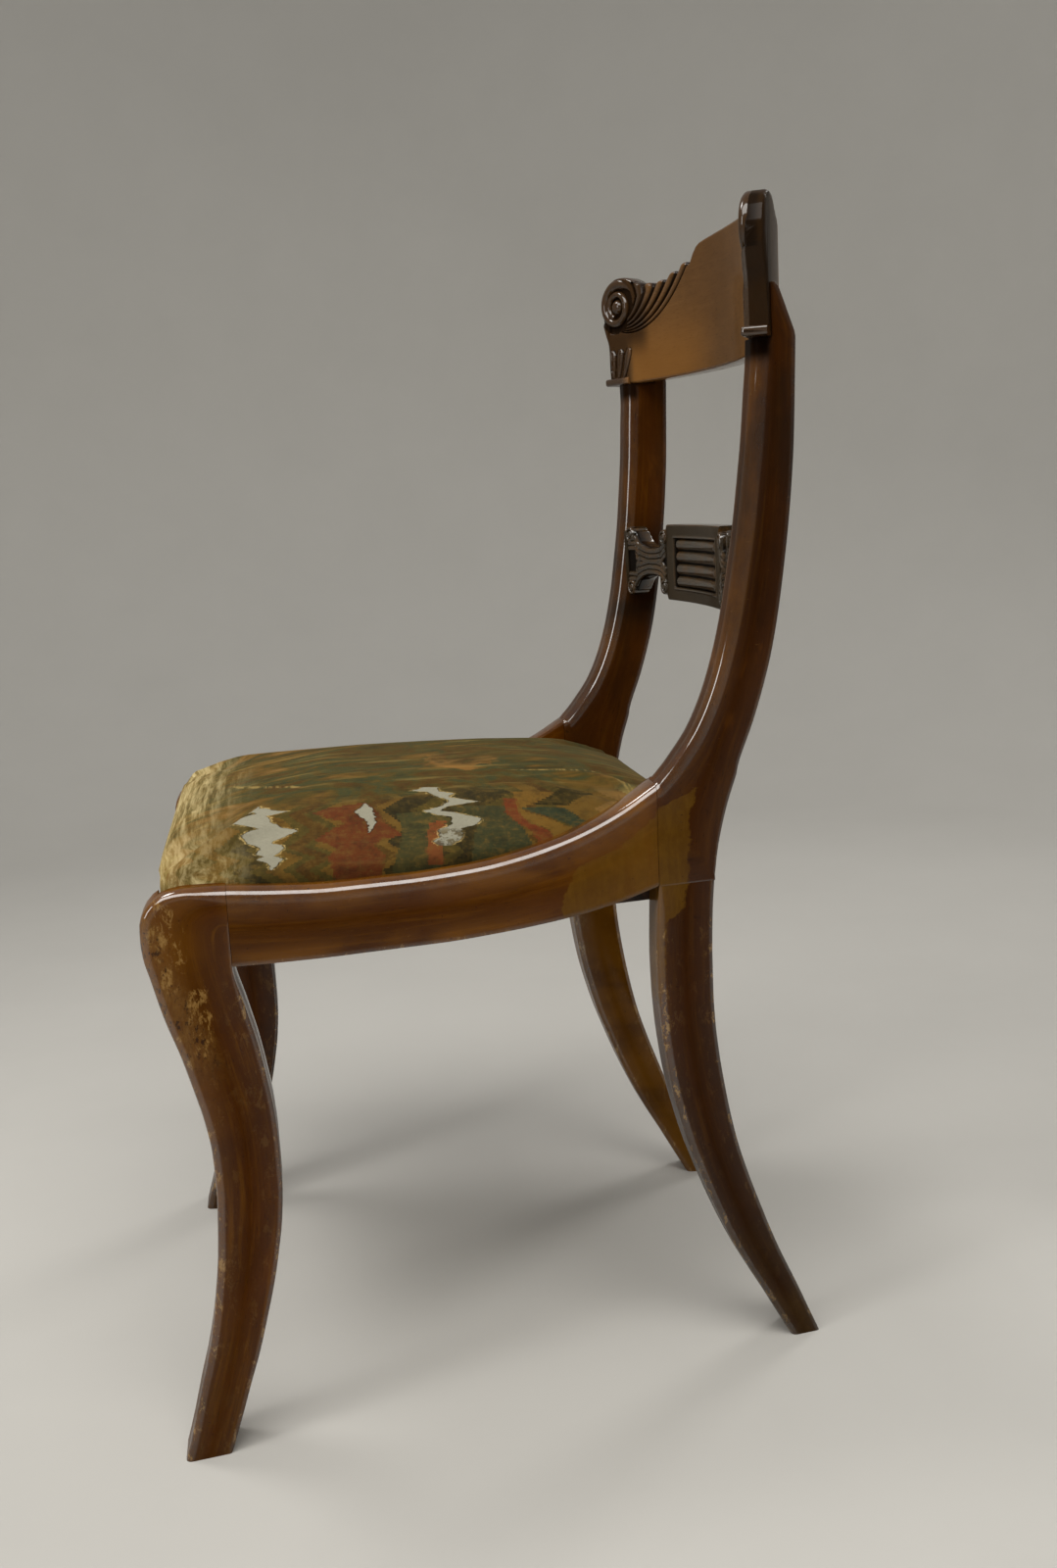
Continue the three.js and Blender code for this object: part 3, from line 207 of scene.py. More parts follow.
# %% Mahogany
def mahogany(name, deep, body, light, figure=1.0, seed=0.0, carved=False, own_grain=True):
    """A polished wood; seed sets its noises, figure how strong its ribbons and streaks are."""
    w = Finish(name, body, 0.3, Coat_Roughness=0.07, Coat_IOR=1.85, Specular_IOR_Level=0.015)
    n, place = w.n, w.place
    w.along, w.across, w.deepness = n.split(w.kept("grain", 1) if own_grain else place)
    long_grain, broad_grain, pore_grain = [n.vector(w.along * share, w.across, w.deepness)
                                           for share in (0.05, 0.35, 0.09)]
    ribbon = n.noise(broad_grain, 14, 3, 0.55, 0.6, seed).step(0.35, 0.66)
    streak = n.noise(long_grain, 240, 4, 0.62, 0.3, seed + 1)
    fine = n.noise(long_grain, 900, 2, 0.5, 0, seed + 2)
    pores = n.noise(pore_grain, 1500, 1, 0.5, 0, seed + 3).step(0.60, 0.72)
    patina = n.noise(place, 7, 4, 0.6, 0.5, seed + 4).step(0.34, 0.68)
    smudge = n.noise(place, 38, 4, 0.65, 0, seed + 5)
    w.lay(ribbon * 0.6 * figure, deep)
    w.lay(streak.step(0.45, 0.8) * 0.4 * figure, light)
    w.lay(fine.step(0.5, 0.72) * 0.3, deep)
    w.lay(patina * 0.5, deep)
    w.lay(pores * 0.5, "120803")
    w.edge = w.kept("edge", 2)
    rubbed = w.edge * n.noise(place, 60, 4, 0.7, 0, seed + 6).step(0.42, 0.66)
    w.lay(rubbed * 0.3, "6e4510")
    nicks = w.edge * n.noise(place, 330, 4, 0.7, 0, seed + 7).step(0.61, 0.66)
    w.lay(nicks * n.noise(place, 24, 3, 0.6, 0, seed + 8).step(0.42, 0.6) * 0.5, "7c5c31")
    w.rough = 0.24 + smudge * 0.14 + rubbed * 0.1
    w.coat = 0.022 + w.edge * 0.9 - rubbed * 0.2
    w.height = streak * 0.25 - pores * 0.5 + smudge * 0.3
    if carved:
        groove = w.kept("groove", 2)
        # Painted shade: the carving's grooves are laid near black, darker the deeper they are.
        w.lay(groove.step(0.02, 0.5) * 0.94, "080402")
        w.rough = w.rough + groove * 0.3
        w.coat = (w.coat * 0.8 + 0.06) * (1 - groove * 0.85)
    return w


def polish(w, strength=0.15, distance=0.0004):
    return w.done((strength, distance, w.height), Roughness=w.rough, Coat_Weight=w.coat)


# %% [markdown]
# Wear is not the same everywhere. Each mask is a soft shape in the chair's own
# coordinates, broken up with noise. A shape with an outline of its own was measured: its
# two sides are kept in a colour ramp, which serves as a table that a shader can read, and
# a place is inside when it lies between them.

# %% Wear
def inside_table(n, along, value, rows, fray=0.0, soft=.0006):
    """A mask that is 1 where value lies between two lines; rows give along, then the two lines' values."""
    start, end = rows[0][0], rows[-1][0]
    stops = [((a - start) / (end - start), (low + .5, high + .5, 0, 1)) for a, low, high in rows]
    lines = n.add("ShaderNodeValToRGB", {"stops": stops}, (along - start) / (end - start))
    low, high, _ = n.split(lines)
    moved = value + .5 + fray
    found = (moved - low).step(-soft, soft) * (high - moved).step(-soft, soft)
    return found * along.math("GREATER_THAN", start) * along.math("LESS_THAN", end)


def any_of(masks):
    """Where any of several masks is."""
    found, *others = masks
    for mask in others:
        found = found.math("MAXIMUM", mask)
    return found


def blotch(w, spot, size, ragged, seed):
    """A patch of some size round a place, with a ragged edge."""
    gap = w.n.add("ShaderNodeVectorMath", {"operation": "SUBTRACT"}, w.place, spot)
    gap = w.n.add("ShaderNodeVectorMath", {"operation": "DIVIDE"}, gap, size)
    length = w.n.add("ShaderNodeVectorMath", {"operation": "LENGTH"}, gap, out="Value")
    return (length + (w.n.noise(w.place, 55, 5, 0.65, 0, seed) - 0.5) * ragged).step(1.1, 0.9)


# %% [markdown]
# The legs, side rails and uprights share one wood, so that it runs on from piece to piece.
# The sitter's left rail has a pale patch where the polish was cleaned off, the front of the
# leg under it is bared in a ragged band with dark flecks left in it, and the lower edges
# are chipped. The uprights are mottled by hands and carry a painted shadow under the ledges,
# the far upright is darker beside the far end of the middle rail, and dust lies on the feet.

# %% Wood of the legs and side rails
# Height, then the front and the back of each patch at that height
pale_edges = [
    (.285, .11, .112), (.30, .11, .1155), (.32, .11, .118), (.34, .11, .117), (.352, .1, .121),
    (.358, .06, .131), (.362, .044, .133), (.372, .041, .1345), (.38, .043, .138), (.39, .049, .138),
    (.40, .055, .1375), (.41, .085, .14), (.42, .1, .139), (.43, .112, .1385), (.437, .117, .142),
    (.445, .138, .145), (.449, .144, .1445)]
knee_edges = [
    (.27, -.26, -.193), (.309, -.26, -.206), (.347, -.26, -.221), (.379, -.26, -.232), (.40, -.26, -.237),
    (.415, -.26, -.246)]


def side_wood():
    """The wood of the legs and side rails, with the wear of each part of them."""
    w = mahogany("side_mahogany", "291201", "532a02", "784b08")
    n, place, x, y, z, edge = w.n, w.place, w.x, w.y, w.z, w.edge
    near_side, far_low = x.math("GREATER_THAN", .1), x.step(-.1, -.12) * z.step(.4, .36)
    cloudy = n.noise(n.vector(x, y * .5, z), 22, 3, .6, 0, 17).step(.35, .62)
    w.lay(y.step(.108, .125) * .5, "1c0d05")

    # A lighter golden layer, partly painted light: painted reflections along the rail's band under the
    # bullnose and along its lower edge, stronger on the near side, and a painted highlight on the uprights'
    # rounded front edges. The front of the front legs is laid lighter too, and noise breaks it all up.
    rail = z.step(.352, .357) * y.step(.118, .10) * y.step(-.20, -.185)
    lit_rail_bands = z.step(.374, .36).math("MAXIMUM", z.step(.386, .40)) * .7 + .15
    warm_and_lit_rail = rail * lit_rail_bands * cloudy * (.2 + x.step(-.05, .05) * .8)
    knee = y.step(-.196, -.226) * z.step(.44, .40) * z.step(.05, .2) * (.25 + cloudy * .5)
    lit_front_edge = edge * z.step(.47, .53) * y.step(.2, .185) * .35
    w.lay((warm_and_lit_rail + knee + lit_front_edge).math("MINIMUM", 1.0) * .6, "72470d")

    fray = (n.noise(place, 130, 4, .7, 0, 18) - .5) * .012
    pale = inside_table(n, z, y, pale_edges, fray, .0012) * x.math("GREATER_THAN", .15)
    pale = pale * (.72 + n.noise(n.vector(x, y, z * .2), 150, 4, .7, 0, 10).step(.4, .6) * .28)
    w.lay(pale * .72, n.mix(n.noise(place, 160, 4, .6, 0, 9), shade("4f340a"), shade("6a4b15")))

    torn = n.noise(n.vector(x, y, z * .5), 150, 6, .78, .3, 12)
    flakes = any_of([blotch(w, (.235, -.232, .378), (.05, .013, .032), 1.1, 7),
                     blotch(w, (.232, -.214, .325), (.05, .008, .03), 1.1, 7)]) * torn.step(.515, .545)
    broken = (n.noise(place, 70, 5, .7, 0, 19) - .5) * .03
    bared = inside_table(n, z, y, knee_edges, broken, .004) * near_side * z.step(.272, .305)
    w.lay(bared * (.15 + torn.step(.4, .55) * .4), "68481d")
    flecks = bared * n.noise(n.vector(x, y, z * .6), 260, 5, .75, .4, 20).step(.54, .6)
    w.lay(flecks * .75, "1c0e05")
    rail_foot = z.step(.3615, .3585) * y.step(-.194, -.188) * y.step(.07, .0)
    lower_edges = z.step(.352, .345).math("MAXIMUM", rail_foot)
    flakes = flakes.math("MAXIMUM", edge * lower_edges * torn.step(.53, .6))

    # Painted light on the far rear leg's inner face, which is laid lighter and golden; the far front leg is
    # laid darker.
    w.lay(far_low * y.step(-.05, .03) * (.3 + cloudy * .4), "6e4608")
    w.lay(far_low * y.step(-.05, -.1) * .5, "1c0d03")
    dents = n.noise(place, 260, 3, .6, 0, 13).step(.66, .71)
    scratches = n.noise(n.vector(x, y * .25, z * 1.5), 420, 3, .6, 1.5, 16).step(.69, .73)
    scuff = n.noise(n.vector(x * 3.0, y, z), 34, 5, .75, .6, 14).step(.58, .72) * z.step(.42, .30)
    w.lay(scuff * .3, "5f4420")
    w.lay(flakes * .7, n.mix(torn.step(.53, .62), shade("7a5828"), shade("957440")))
    w.lay(scratches * .35, "77552a")
    w.lay(dents * .55, "180a04")

    upright = z.step(.45, .50)
    handled = n.noise(n.vector(x, y, z * .35), 24, 4, .6, .5, 22)
    w.lay(upright * handled.step(.5, .68) * .6, "1d1006")
    w.lay(upright * handled.step(.42, .3) * .35, "6a3f0e")
    # The far upright is laid darker beside the far end of the middle rail.
    far_upright_darker = x.step(-.12, -.14) * z.step(.515, .555) * z.step(.66, .60)
    w.lay(far_upright_darker * (.5 + cloudy * .35), "120b05")
    # Painted shadow: a near-black band on the uprights' fronts just under the crest's overhanging ends.
    painted_shadow_under_ledge = z.step(.738, .748) * y.step(.204, .198)
    w.lay(painted_shadow_under_ledge * .9, "080402")
    dust = z.step(.16, .0) * n.noise(place, 30, 5, .7, 0, 15).step(.3, .75)
    w.lay(z.step(.35, .05) * near_side * y.step(-.05, .05) * .4, "1c1207")
    w.lay(dust * .4, "4a3a20")
    w.rough = w.rough + dust * .3 + flakes * .2
    w.coat = w.coat * (1 - pale * .4) * (1 - z.step(.5, .58) * .5) * (1 - dust * .7) * (1 - painted_shadow_under_ledge)
    w.height = w.height - flakes * .8 - dents * .9 - scratches * .3
    return polish(w, .2, .0005)


# %% [markdown]
# The crest is warmer low down to both sides of its middle, where cloths have kept it clean,
# and dark about the scrolls and at its ends, where no cloth reaches. The middle rail has
# gone nearly black, and the two plain seat rails are darker than the legs.

# %% Woods of the other rails
def crest_wood():
    """Warmer low down beside its middle, dark about the scrolls, and dull at the board's sawn ends."""
    w = mahogany("crest_mahogany", "38230f", "624527", "7c5b38", 0.4, 21, carved=True)
    far = w.along.math("ABSOLUTE")
    w.lay(w.across.step(0.83, 0.768) * far.step(0.02, 0.10) * far.step(0.186, 0.176) * 0.47, "7c5220")
    scroll_place, outer_end = far.step(0.150, 0.168) * w.across.step(0.775, 0.80), far.step(0.178, 0.19)
    w.lay((scroll_place.math("MAXIMUM", outer_end) * 0.55 * 1.4).math("MINIMUM", 1.0), "1b1007")
    board_end = far.step(.196, .204) * w.deepness.step(.0032, .006) * w.deepness.step(.04, .034)
    w.lay(board_end * .6, "140c05")
    w.coat = w.coat * (1 - board_end * .92)
    return polish(w)


side_material = side_wood()
crest_material = crest_wood()
middle_material = polish(mahogany("middle_rail_mahogany", "1b150d", "352a1b", "4a3c28", 0.5, 31, carved=True))
rail_material = polish(mahogany("seat_rail_mahogany", "210e04", "3a1c07", "593516", 1.0, 41, own_grain=False),
                       strength=0.12, distance=0.0003)
print("woods:", ", ".join(m.name for m in (side_material, crest_material, middle_material, rail_material)))

# %% [markdown]
# The chair's outlines were measured as tables of places, the same that the solids use.
# Straight lines between them would show as facets on polished wood. A spline would swing
# past the points, so the curve here is a monotone cubic, which never overshoots.

# %% Curves from tables
# Millimetres: y runs back from the front of the knee, and z up from the floor
knee_y = -248.148
seat_height, joint_top, crest_low = 414.0, 454.0, 757.0
side_depth, front_joint, rear_joint = 485.0, 58.0, 363.02
rail_low, ledge_height, rebate_front, rebate_back = 358.5, 390.0, 13, 401.0
joint_rise, upright_rise = joint_top - seat_height, crest_low - joint_top
half_width, narrowing, lean_out, lean_in = 225.0, 52.5, 27.0, 6.5
lip_start, lip_run, lip_width_in_front, lip_growth = 210.51, 152.51, 15.0, 14.4
nose_round, edge_round, back_round = 9.5, 4.5, 2.25
front_leg_thickness, rear_leg_thickness = 33, 30

# Height, then the front and the back there, as shares of the seat's height and the side's depth
front_leg_table = [
    (0, -.0095, .0571), (.06, .006, .0755), (.121, .02, .0929), (.18, .0346, .1103), (.242, .0468, .1256),
    (.3, .055, .1389), (.362, .0623, .1502), (.42, .0664, .1583), (.483, .0695, .1624),
    (.545, .0685, .1624), (.604, .0623, .1604), (.665, .0509, .1542), (.725, .0384, .1461),
    (.79, .0219, .1338)]
rear_leg_table = [
    (0, .9519, 1), (.048, .9294, .9826), (.097, .9069, .9652), (.193, .8619, .9294), (.29, .8251, .8988),
    (.35, .8057, .8814), (.411, .7873, .866), (.47, .773, .8548), (.531, .7607, .8456), (.59, .7525, .8384),
    (.652, .7464, .8333), (.713, .7433, .8313), (.773, .7423, .8313), (.85, .7443, .8333)]
# Share of the way up the joint or the upright, then its lines as shares of the side's depth
joint_back_table = [(0, .8374), (.25, .8425), (.5, .8507), (.75, .8609), (1, .8742)]
upright_table = [
    (0, .7485, .8742), (.028, .7648, .8778), (.06, .7811, .8849), (.119, .8072, .8993), (.2, .8307, .9156),
    (.284, .8476, .9294), (.383, .8619, .9407), (.482, .8722, .949), (.58, .8814, .9557),
    (.68, .8885, .9605), (.78, .8947, .9633), (.878, .8988, .9639), (.97, .9023, .964), (1, .9023, .964)]
# Share of the way from joint to joint, then the rise as a share of the joint's own
rail_top_table = [
    (0, 0), (.12, -.1), (.24, -.16), (.41, -.165), (.5, -.14), (.59, -.09), (.66, -.01), (.73, .1),
    (.78, .2), (.825, .315), (.875, .47), (.92, .635), (1, 1)]
rail_low_table = [
    (0, 0), (.12, -.035), (.24, -.05), (.47, -.05), (.6, -.01), (.73, .07), (.82, .16), (.9, .28), (1, .49)]


def read(table, places, column=1):
    """A curve through a table's points, at one place or many."""
    x = np.array([row[0] for row in table], float)
    y = np.array([row[column] for row in table], float)
    gap = np.diff(x)
    slope = np.diff(y) / gap
    lean = np.concatenate(([slope[0]], np.zeros(len(x) - 2), [slope[-1]]))
    for i in range(1, len(x) - 1):
        if slope[i - 1] * slope[i] > 0:
            first, second = 2 * gap[i] + gap[i - 1], gap[i] + 2 * gap[i - 1]
            lean[i] = (first + second) / (first / slope[i - 1] + second / slope[i])
    p = np.clip(np.asarray(places, float), x[0], x[-1])
    i = np.clip(np.searchsorted(x, p, side="right") - 1, 0, len(x) - 2)
    t = (p - x[i]) / gap[i]
    rise = y[i] * (1 + 2 * t) * (1 - t) ** 2 + y[i + 1] * t * t * (3 - 2 * t)
    return rise + gap[i] * (lean[i] * t * (1 - t) ** 2 + lean[i + 1] * t * t * (t - 1))


def outer_x(y, z):
    """Outer face of a side frame: it closes in towards the back and leans out above the seat."""
    lean = np.where(z > seat_height, lean_out * (z - seat_height) / (crest_low - seat_height),
                    -lean_in * (1 - z / seat_height))
    return half_width - narrowing * y / side_depth + lean


def along_rail(base, table, y):
    return base + joint_rise * read(table, (y - front_joint) / (rear_joint - front_joint))


def lip_width(y):
    """Width of the rail's top: even in front, and wider towards the upright."""
    return lip_width_in_front + lip_growth * np.maximum(0, (y - lip_start) / lip_run) ** 1.6


rail_dip = along_rail(seat_height, rail_top_table, np.linspace(front_joint, rear_joint, 99)).min()
print("rail top at its lowest:", round(float(rail_dip), 2), "mm")

# %% [markdown]
# Each wooden piece is a skin over rings, one ring per station along it, closed at its ends.
# The rings are worked out in millimetres from the knee and go into the frame at the end.
# Three things are kept at each point for the wood's material: the grain's direction, how
# exposed the edge is, and on carved pieces how deep the carving.

# %% Skins over rings
def ring_faces(count, size):
    faces = [(i * size + j, i * size + (j + 1) % size, (i + 1) * size + (j + 1) % size, (i + 1) * size + j)
             for i in range(count - 1) for j in range(size)]
    return faces + [tuple(range(size))[::-1], tuple((count - 1) * size + j for j in range(size))]


def quarter(radius, count=7):
    """Inset and drop along a quarter round, from its side to its top."""
    turn = np.linspace(0, math.pi / 2, count)
    return [(radius * (1 - math.cos(a)), radius * (1 - math.sin(a))) for a in turn]


def outward(mesh):
    work = bmesh.new()
    work.from_mesh(mesh)
    bmesh.ops.recalc_face_normals(work, faces=work.faces)
    work.to_mesh(mesh)
    work.free()


def skin(name, rings, material, **attributes):
    """A closed mesh over rings in mm; attributes hold one number or three for each point."""
    rings = np.asarray(rings, float)
    points = rings.reshape(-1, 3)
    mesh = bpy.data.meshes.new(name)
    mesh.from_pydata(((points + (0, knee_y, 0)) / 1000).tolist(), [], ring_faces(*rings.shape[:2]))
    for key, values in attributes.items():
        values = np.asarray(values, np.float32).ravel()
        kind, field = ("FLOAT_VECTOR", "vector") if len(values) == 3 * len(points) else ("FLOAT", "value")
        mesh.attributes.new(key, kind, "POINT").data.foreach_set(field, values)
    outward(mesh)
    mesh.materials.append(material)
    return mesh


def placed(name, data):
    """An object in the scene for a mesh, a lamp or a camera."""
    thing = bpy.data.objects.new(name, data)
    bpy.context.scene.collection.objects.link(thing)
    return thing


def show(name, mesh, sharp=35):
    """Puts a mesh in the scene with smooth faces, and sharp edges over an angle in degrees."""
    mesh.shade_smooth()
    mesh.set_sharp_from_angle(angle=math.radians(sharp))
    print(name, len(mesh.vertices), "points", len(mesh.polygons), "faces")
    return placed(name, mesh)


def settled(thing):
    """The plain mesh of an object with its modifiers carried out; the object goes."""
    bpy.context.view_layer.update()
    graph = bpy.context.evaluated_depsgraph_get()
    mesh = bpy.data.meshes.new_from_object(thing.evaluated_get(graph), preserve_all_data_layers=True,
                                           depsgraph=graph)
    bpy.data.objects.remove(thing)
    return mesh


def combined(mesh, other, operation):
    """One mesh cut by another, or joined with it."""
    thing, tool = placed("work", mesh), placed("tool", other)
    cut = thing.modifiers.new("cut", "BOOLEAN")
    cut.operation, cut.solver, cut.object = operation, "EXACT", tool
    result = settled(thing)
    bpy.data.objects.remove(tool)
    return result


# %% [markdown]
# A sabre leg is sawn from a board, so its sides are flat and its edges softened. Its
# outline has a front line and a back line, and each station joins one to the other. The
# stations turn with the curve, which carries the rounded edge right over the knee and
# smoothly from the side rail into the upright. Extra points beside each rounding keep the
# flat faces from taking on its shading.

# %% Legs as stations between a front line and a back line
def section(thickness, depth, outer, inner, back):
    """Points round one station: inset from the outer face, depth from the front, exposure."""
    beside = min(1.5, depth / 8)
    ring = [(x, y, 1) for x, y in quarter(outer)]
    ring += [(outer + beside, 0, .3), (thickness - inner - beside, 0, .3)]
    ring += [(thickness - x, y, 1) for x, y in quarter(inner)[::-1]]
    ring += [(thickness, inner + beside, .2), (thickness, depth / 2, 0),
             (thickness, depth - back - beside, .2)]
    ring += [(thickness - x, depth - y, 1) for x, y in quarter(back)[::2]]
    ring += [(thickness / 2, depth, 0)]
    ring += [(x, depth - y, 1) for x, y in quarter(back)[::-2]]
    ring += [(0, depth - back - beside, .2), (0, depth / 2, 0), (0, outer + beside, .2)]
    return np.array(ring)


def leg_mesh(name, rows, hand, thickness, twist=0.0):
    """rows: front y, z, back y, z, the outer, inner and back roundings, and the twist's share."""
    rows = np.asarray(rows, float)
    centre = (rows[:, :2] + rows[:, 2:4]) / 2
    travel = np.concatenate(([0], np.cumsum(np.linalg.norm(np.diff(centre, axis=0), axis=1))))
    rings, grain, exposed = [], [], []
    for row, length in zip(rows, travel):
        front, back = row[:2], row[2:4]
        depth = np.linalg.norm(back - front)
        ring = section(thickness, depth, *row[4:7])
        place = front + (back - front) * (ring[:, 1:2] / depth)
        x = outer_x(place[:, 0], place[:, 1]) - ring[:, 0]
        lag = twist * row[7] * (ring[:, 0] / thickness) * (ring[:, 1] / depth)
        rings.append(np.column_stack((hand * x, place[:, 0] + lag, place[:, 1])))
        grain.append(np.column_stack((np.full(len(ring), length), ring[:, 1] - depth / 2, ring[:, 0])) / 1000)
        exposed.append(ring[:, 2])
    return skin(name, rings, side_material, grain=np.concatenate(grain) + (0, 0, hand * .31), edge=exposed)


def leg_rows(table):
    """Level stations from a table of height, front and back, as shares of seat height and side depth."""
    rounds = (edge_round, edge_round, back_round, 0)
    return [(side_depth * f, seat_height * z, side_depth * b, seat_height * z, *rounds) for z, f, b in table]


def between(rows, count):
    """More stations on smooth curves through the given ones."""
    rows = np.asarray(rows, float)
    step = sum(np.linalg.norm(np.diff(rows[:, i:i + 2], axis=0), axis=1) for i in (0, 2))
    travel = np.concatenate(([0], np.cumsum(step)))
    places = np.linspace(0, travel[-1], count)
    return np.column_stack([read(list(zip(travel, rows[:, c])), places) for c in range(rows.shape[1])])


# %% Front legs
# Over the knee: front y and z, back z, then the outer and inner roundings
knee_table = [
    (3.5, 358.5, 358.5, 4.6, 4.5), (.93, 369.9, 365, 4.8, 4.5), (0, 381.3, 371, 5, 4.5),
    (.4, 392.7, 376, 5.4, 4.5), (2.1, 399.6, 379.5, 5.8, 4.6), (5.8, 405.6, 382.5, 6.3, 4.8),
    (11, 410.3, 384.5, 6.8, 5), (18, 413.7, 386, 7.4, 5), (29, 415.5, 387.5, 8.3, 5),
    (44, 415, 388.5, 9.1, 5), (58, 414, 389.3, nose_round, 5)]


def recess_cutter(back=70, top=470):
    """The seat's recess, cut out of the two front legs."""
    rings = []
    for y in np.linspace(rebate_front, back, 6):
        half = float(outer_x(y, ledge_height) - lip_width(y))
        rings.append([(-half, y, ledge_height), (half, y, ledge_height), (half, y, top), (-half, y, top)])
    return skin("recess", rings, side_material)


hands = ((1, "left"), (-1, "right"))
fitted = {}
knee_rows = [(y, z, front_joint, back_z, *rounds, .3, 0) for y, z, back_z, *rounds in knee_table]
front_rows = between(leg_rows(front_leg_table) + knee_rows, 110)
for hand, side_name in hands:
    leg = leg_mesh("front_leg", front_rows, hand, front_leg_thickness)
    leg = combined(leg, recess_cutter(), "DIFFERENCE")
    fitted[f"{side_name}_front_leg"] = show(f"{side_name}_sabre_front_leg", leg)

# %% [markdown]
# The side rail is one bar with a bullnose along its top, bowed down in the middle and
# swept up at the back, and a rebate inside for the seat. A bar with a bevel modifier would
# do for the bullnose, but here the rebate's lip also widens towards the upright, so each
# station of the bar is drawn in full.

# %% Side rails
def rail_section(y):
    """Points round one station of a side rail, with the grain and the exposure of each."""
    top = float(along_rail(seat_height, rail_top_table, y))
    low = float(along_rail(rail_low, rail_low_table, y))
    lip, inner = float(lip_width(y)), rear_leg_thickness
    ring = [(2.2, low, .8), (.7, low + .5, 1), (0, low + 1.8, .8), (0, low + 4, .2), (0, (low + top) / 2, 0),
            (0, top - nose_round - 2, .3)]
    ring += [(x, top - drop, 1) for x, drop in quarter(nose_round, 9)]
    ring += [(lip - 2, top, 1), (lip - .6, top - .5, 1), (lip, top - 2, 1), (lip, top - 4, 0),
             (lip, ledge_height, 0), (inner, ledge_height, 0),
             (inner, low, .3), (inner - 2, low, 0), (4.5, low, .2)]
    inset, height, exposed = np.array(ring).T
    at = np.full(len(ring), y)
    grain = np.column_stack((at, height - (top + low) / 2, inset)) / 1000
    return np.column_stack((outer_x(y, height) - inset, at, height)), grain, exposed


for hand, side_name in hands:
    stations = np.linspace(front_joint + .25, rear_joint - .15, 64)
    rings, grain, exposed = zip(*(rail_section(y) for y in stations))
    rail = skin("side_rail", np.array(rings) * (hand, 1, 1), side_material,
                grain=np.concatenate(grain) + (.4, 0, hand * .17), edge=exposed)
    fitted[f"{side_name}_side_rail"] = show(f"{side_name}_bowed_side_rail", rail)

# %% [markdown]
# The rear leg and the upright are one board. Below the seat the stations are level. In the
# joint they fan round, from the rail's end to the slope of the upright, so the bullnose of
# the rail runs on up the upright's front edge. The top is cut away as a tongue behind the
# crest rail. The two parts of the board are joined by a Boolean into one skin.

# %% Rear legs and uprights
crest_radius, crest_thickness, crest_tall = 414.0, 16.5, 107.5
middle_radius, middle_thickness, middle_tall, middle_z = 600.0, 16.0, 65.0, 597.505
crest_setback, joint_low, joint_back = 7.8, 378.1, 406.1


def bend_for(radius, half_chord, setback):
    """Bends flat places (along the arc, height, depth behind the front face) to a board's curve."""
    axis = setback - math.sqrt(radius ** 2 - half_chord ** 2)

    def bend(s, z, depth):
        angle = s / radius
        return np.stack(np.broadcast_arrays((radius + depth) * np.sin(angle),
                                            axis + (radius + depth) * np.cos(angle), z), -1)
    return bend, axis


crest_seat_y = side_depth * upright_table[-1][1]
crest_chord = float(outer_x(crest_seat_y - crest_setback, crest_low))
crest_half = crest_radius * math.asin(crest_chord / crest_radius) + 7.9
crest_bend, crest_axis = bend_for(crest_radius, crest_chord, crest_seat_y - crest_setback)
middle_y = 6.4 + side_depth * float(read(upright_table, (middle_z - joint_top) / upright_rise))
middle_chord = float(outer_x(middle_y, middle_z)) - rear_leg_thickness
middle_half = middle_radius * math.asin(middle_chord / middle_radius)
middle_bend, middle_axis = bend_for(middle_radius, middle_chord, middle_y)
print("crest", round(crest_half, 2), "mm each way, middle rail", round(middle_half, 2))

# Above the joint: height of a station's front, then of its back, which lies lower in the fan
back_heights = [
    (455.5, 378.1), (459, 400), (470, 428), (500, 470), (550, 532), (600, 591), (650, 646), (700, 698),
    (757, 757)]
# The tongue: share of its 35 mm, and its back as a share of the side's depth
tongue_tall, tongue_table = 35, [(.1, .9625), (.35, .9551), (.7, .9447), (.92, .9381), (1, .9328)]


def upright_back(z):
    low = np.clip((z - joint_low) / (joint_top - joint_low), 0, 1)
    high = np.clip((z - joint_top) / upright_rise, 0, 1)
    return side_depth * np.where(z < joint_top, read(joint_back_table, low), read(upright_table, high, 2))


def upright_rows():
    """The fan in the joint, the upright itself, and the tongue behind the crest."""
    rows = [(rear_joint + .1 + .3 * i, joint_top + .3 * i, y, joint_low, nose_round, 5, .2, 0)
            for i, y in enumerate((rear_joint + .2, 376, 390, 400, joint_back))]
    rounds = (nose_round, nose_round, back_round)
    for z in np.concatenate((np.linspace(456, 474, 10), np.linspace(478, crest_low, 58))):
        back_z = float(read(back_heights, z))
        front = side_depth * float(read(upright_table, (z - joint_top) / upright_rise))
        twist = float(np.clip((z - joint_top) / upright_rise, 0, 1)) ** 2
        rows.append((front, z, float(upright_back(back_z)), back_z, *rounds, twist))
    for share, back in tongue_table:
        z = crest_low + tongue_tall * share
        rows.append((crest_seat_y, z, side_depth * back, z, *rounds, 1))
    return rows


def crest_cutter(hand):
    """The crest's place, cut out of the top of an upright."""
    low, top, behind = crest_low - .3, crest_low + crest_tall, crest_thickness + .3
    corners = ((low, -30), (top, -30), (top, behind), (low, behind))
    places = hand * np.linspace(crest_half / 2, crest_half + 30, 24)
    return skin("crest_place", [[crest_bend(s, z, d) for z, d in corners] for s in places], side_material)


joint_row = (rear_joint, joint_low, joint_back, joint_low, 1, 1, back_round, 0)
rear_rows = between(leg_rows(rear_leg_table) + [joint_row], 90)
for hand, side_name in hands:
    lower = leg_mesh("lower", rear_rows, hand, rear_leg_thickness)
    upper = leg_mesh("upper", upright_rows(), hand, rear_leg_thickness, twist=9.0)
    leg = combined(combined(lower, upper, "UNION"), crest_cutter(hand), "DIFFERENCE")
    fitted[f"{side_name}_rear_leg"] = show(f"{side_name}_sabre_rear_leg", leg)

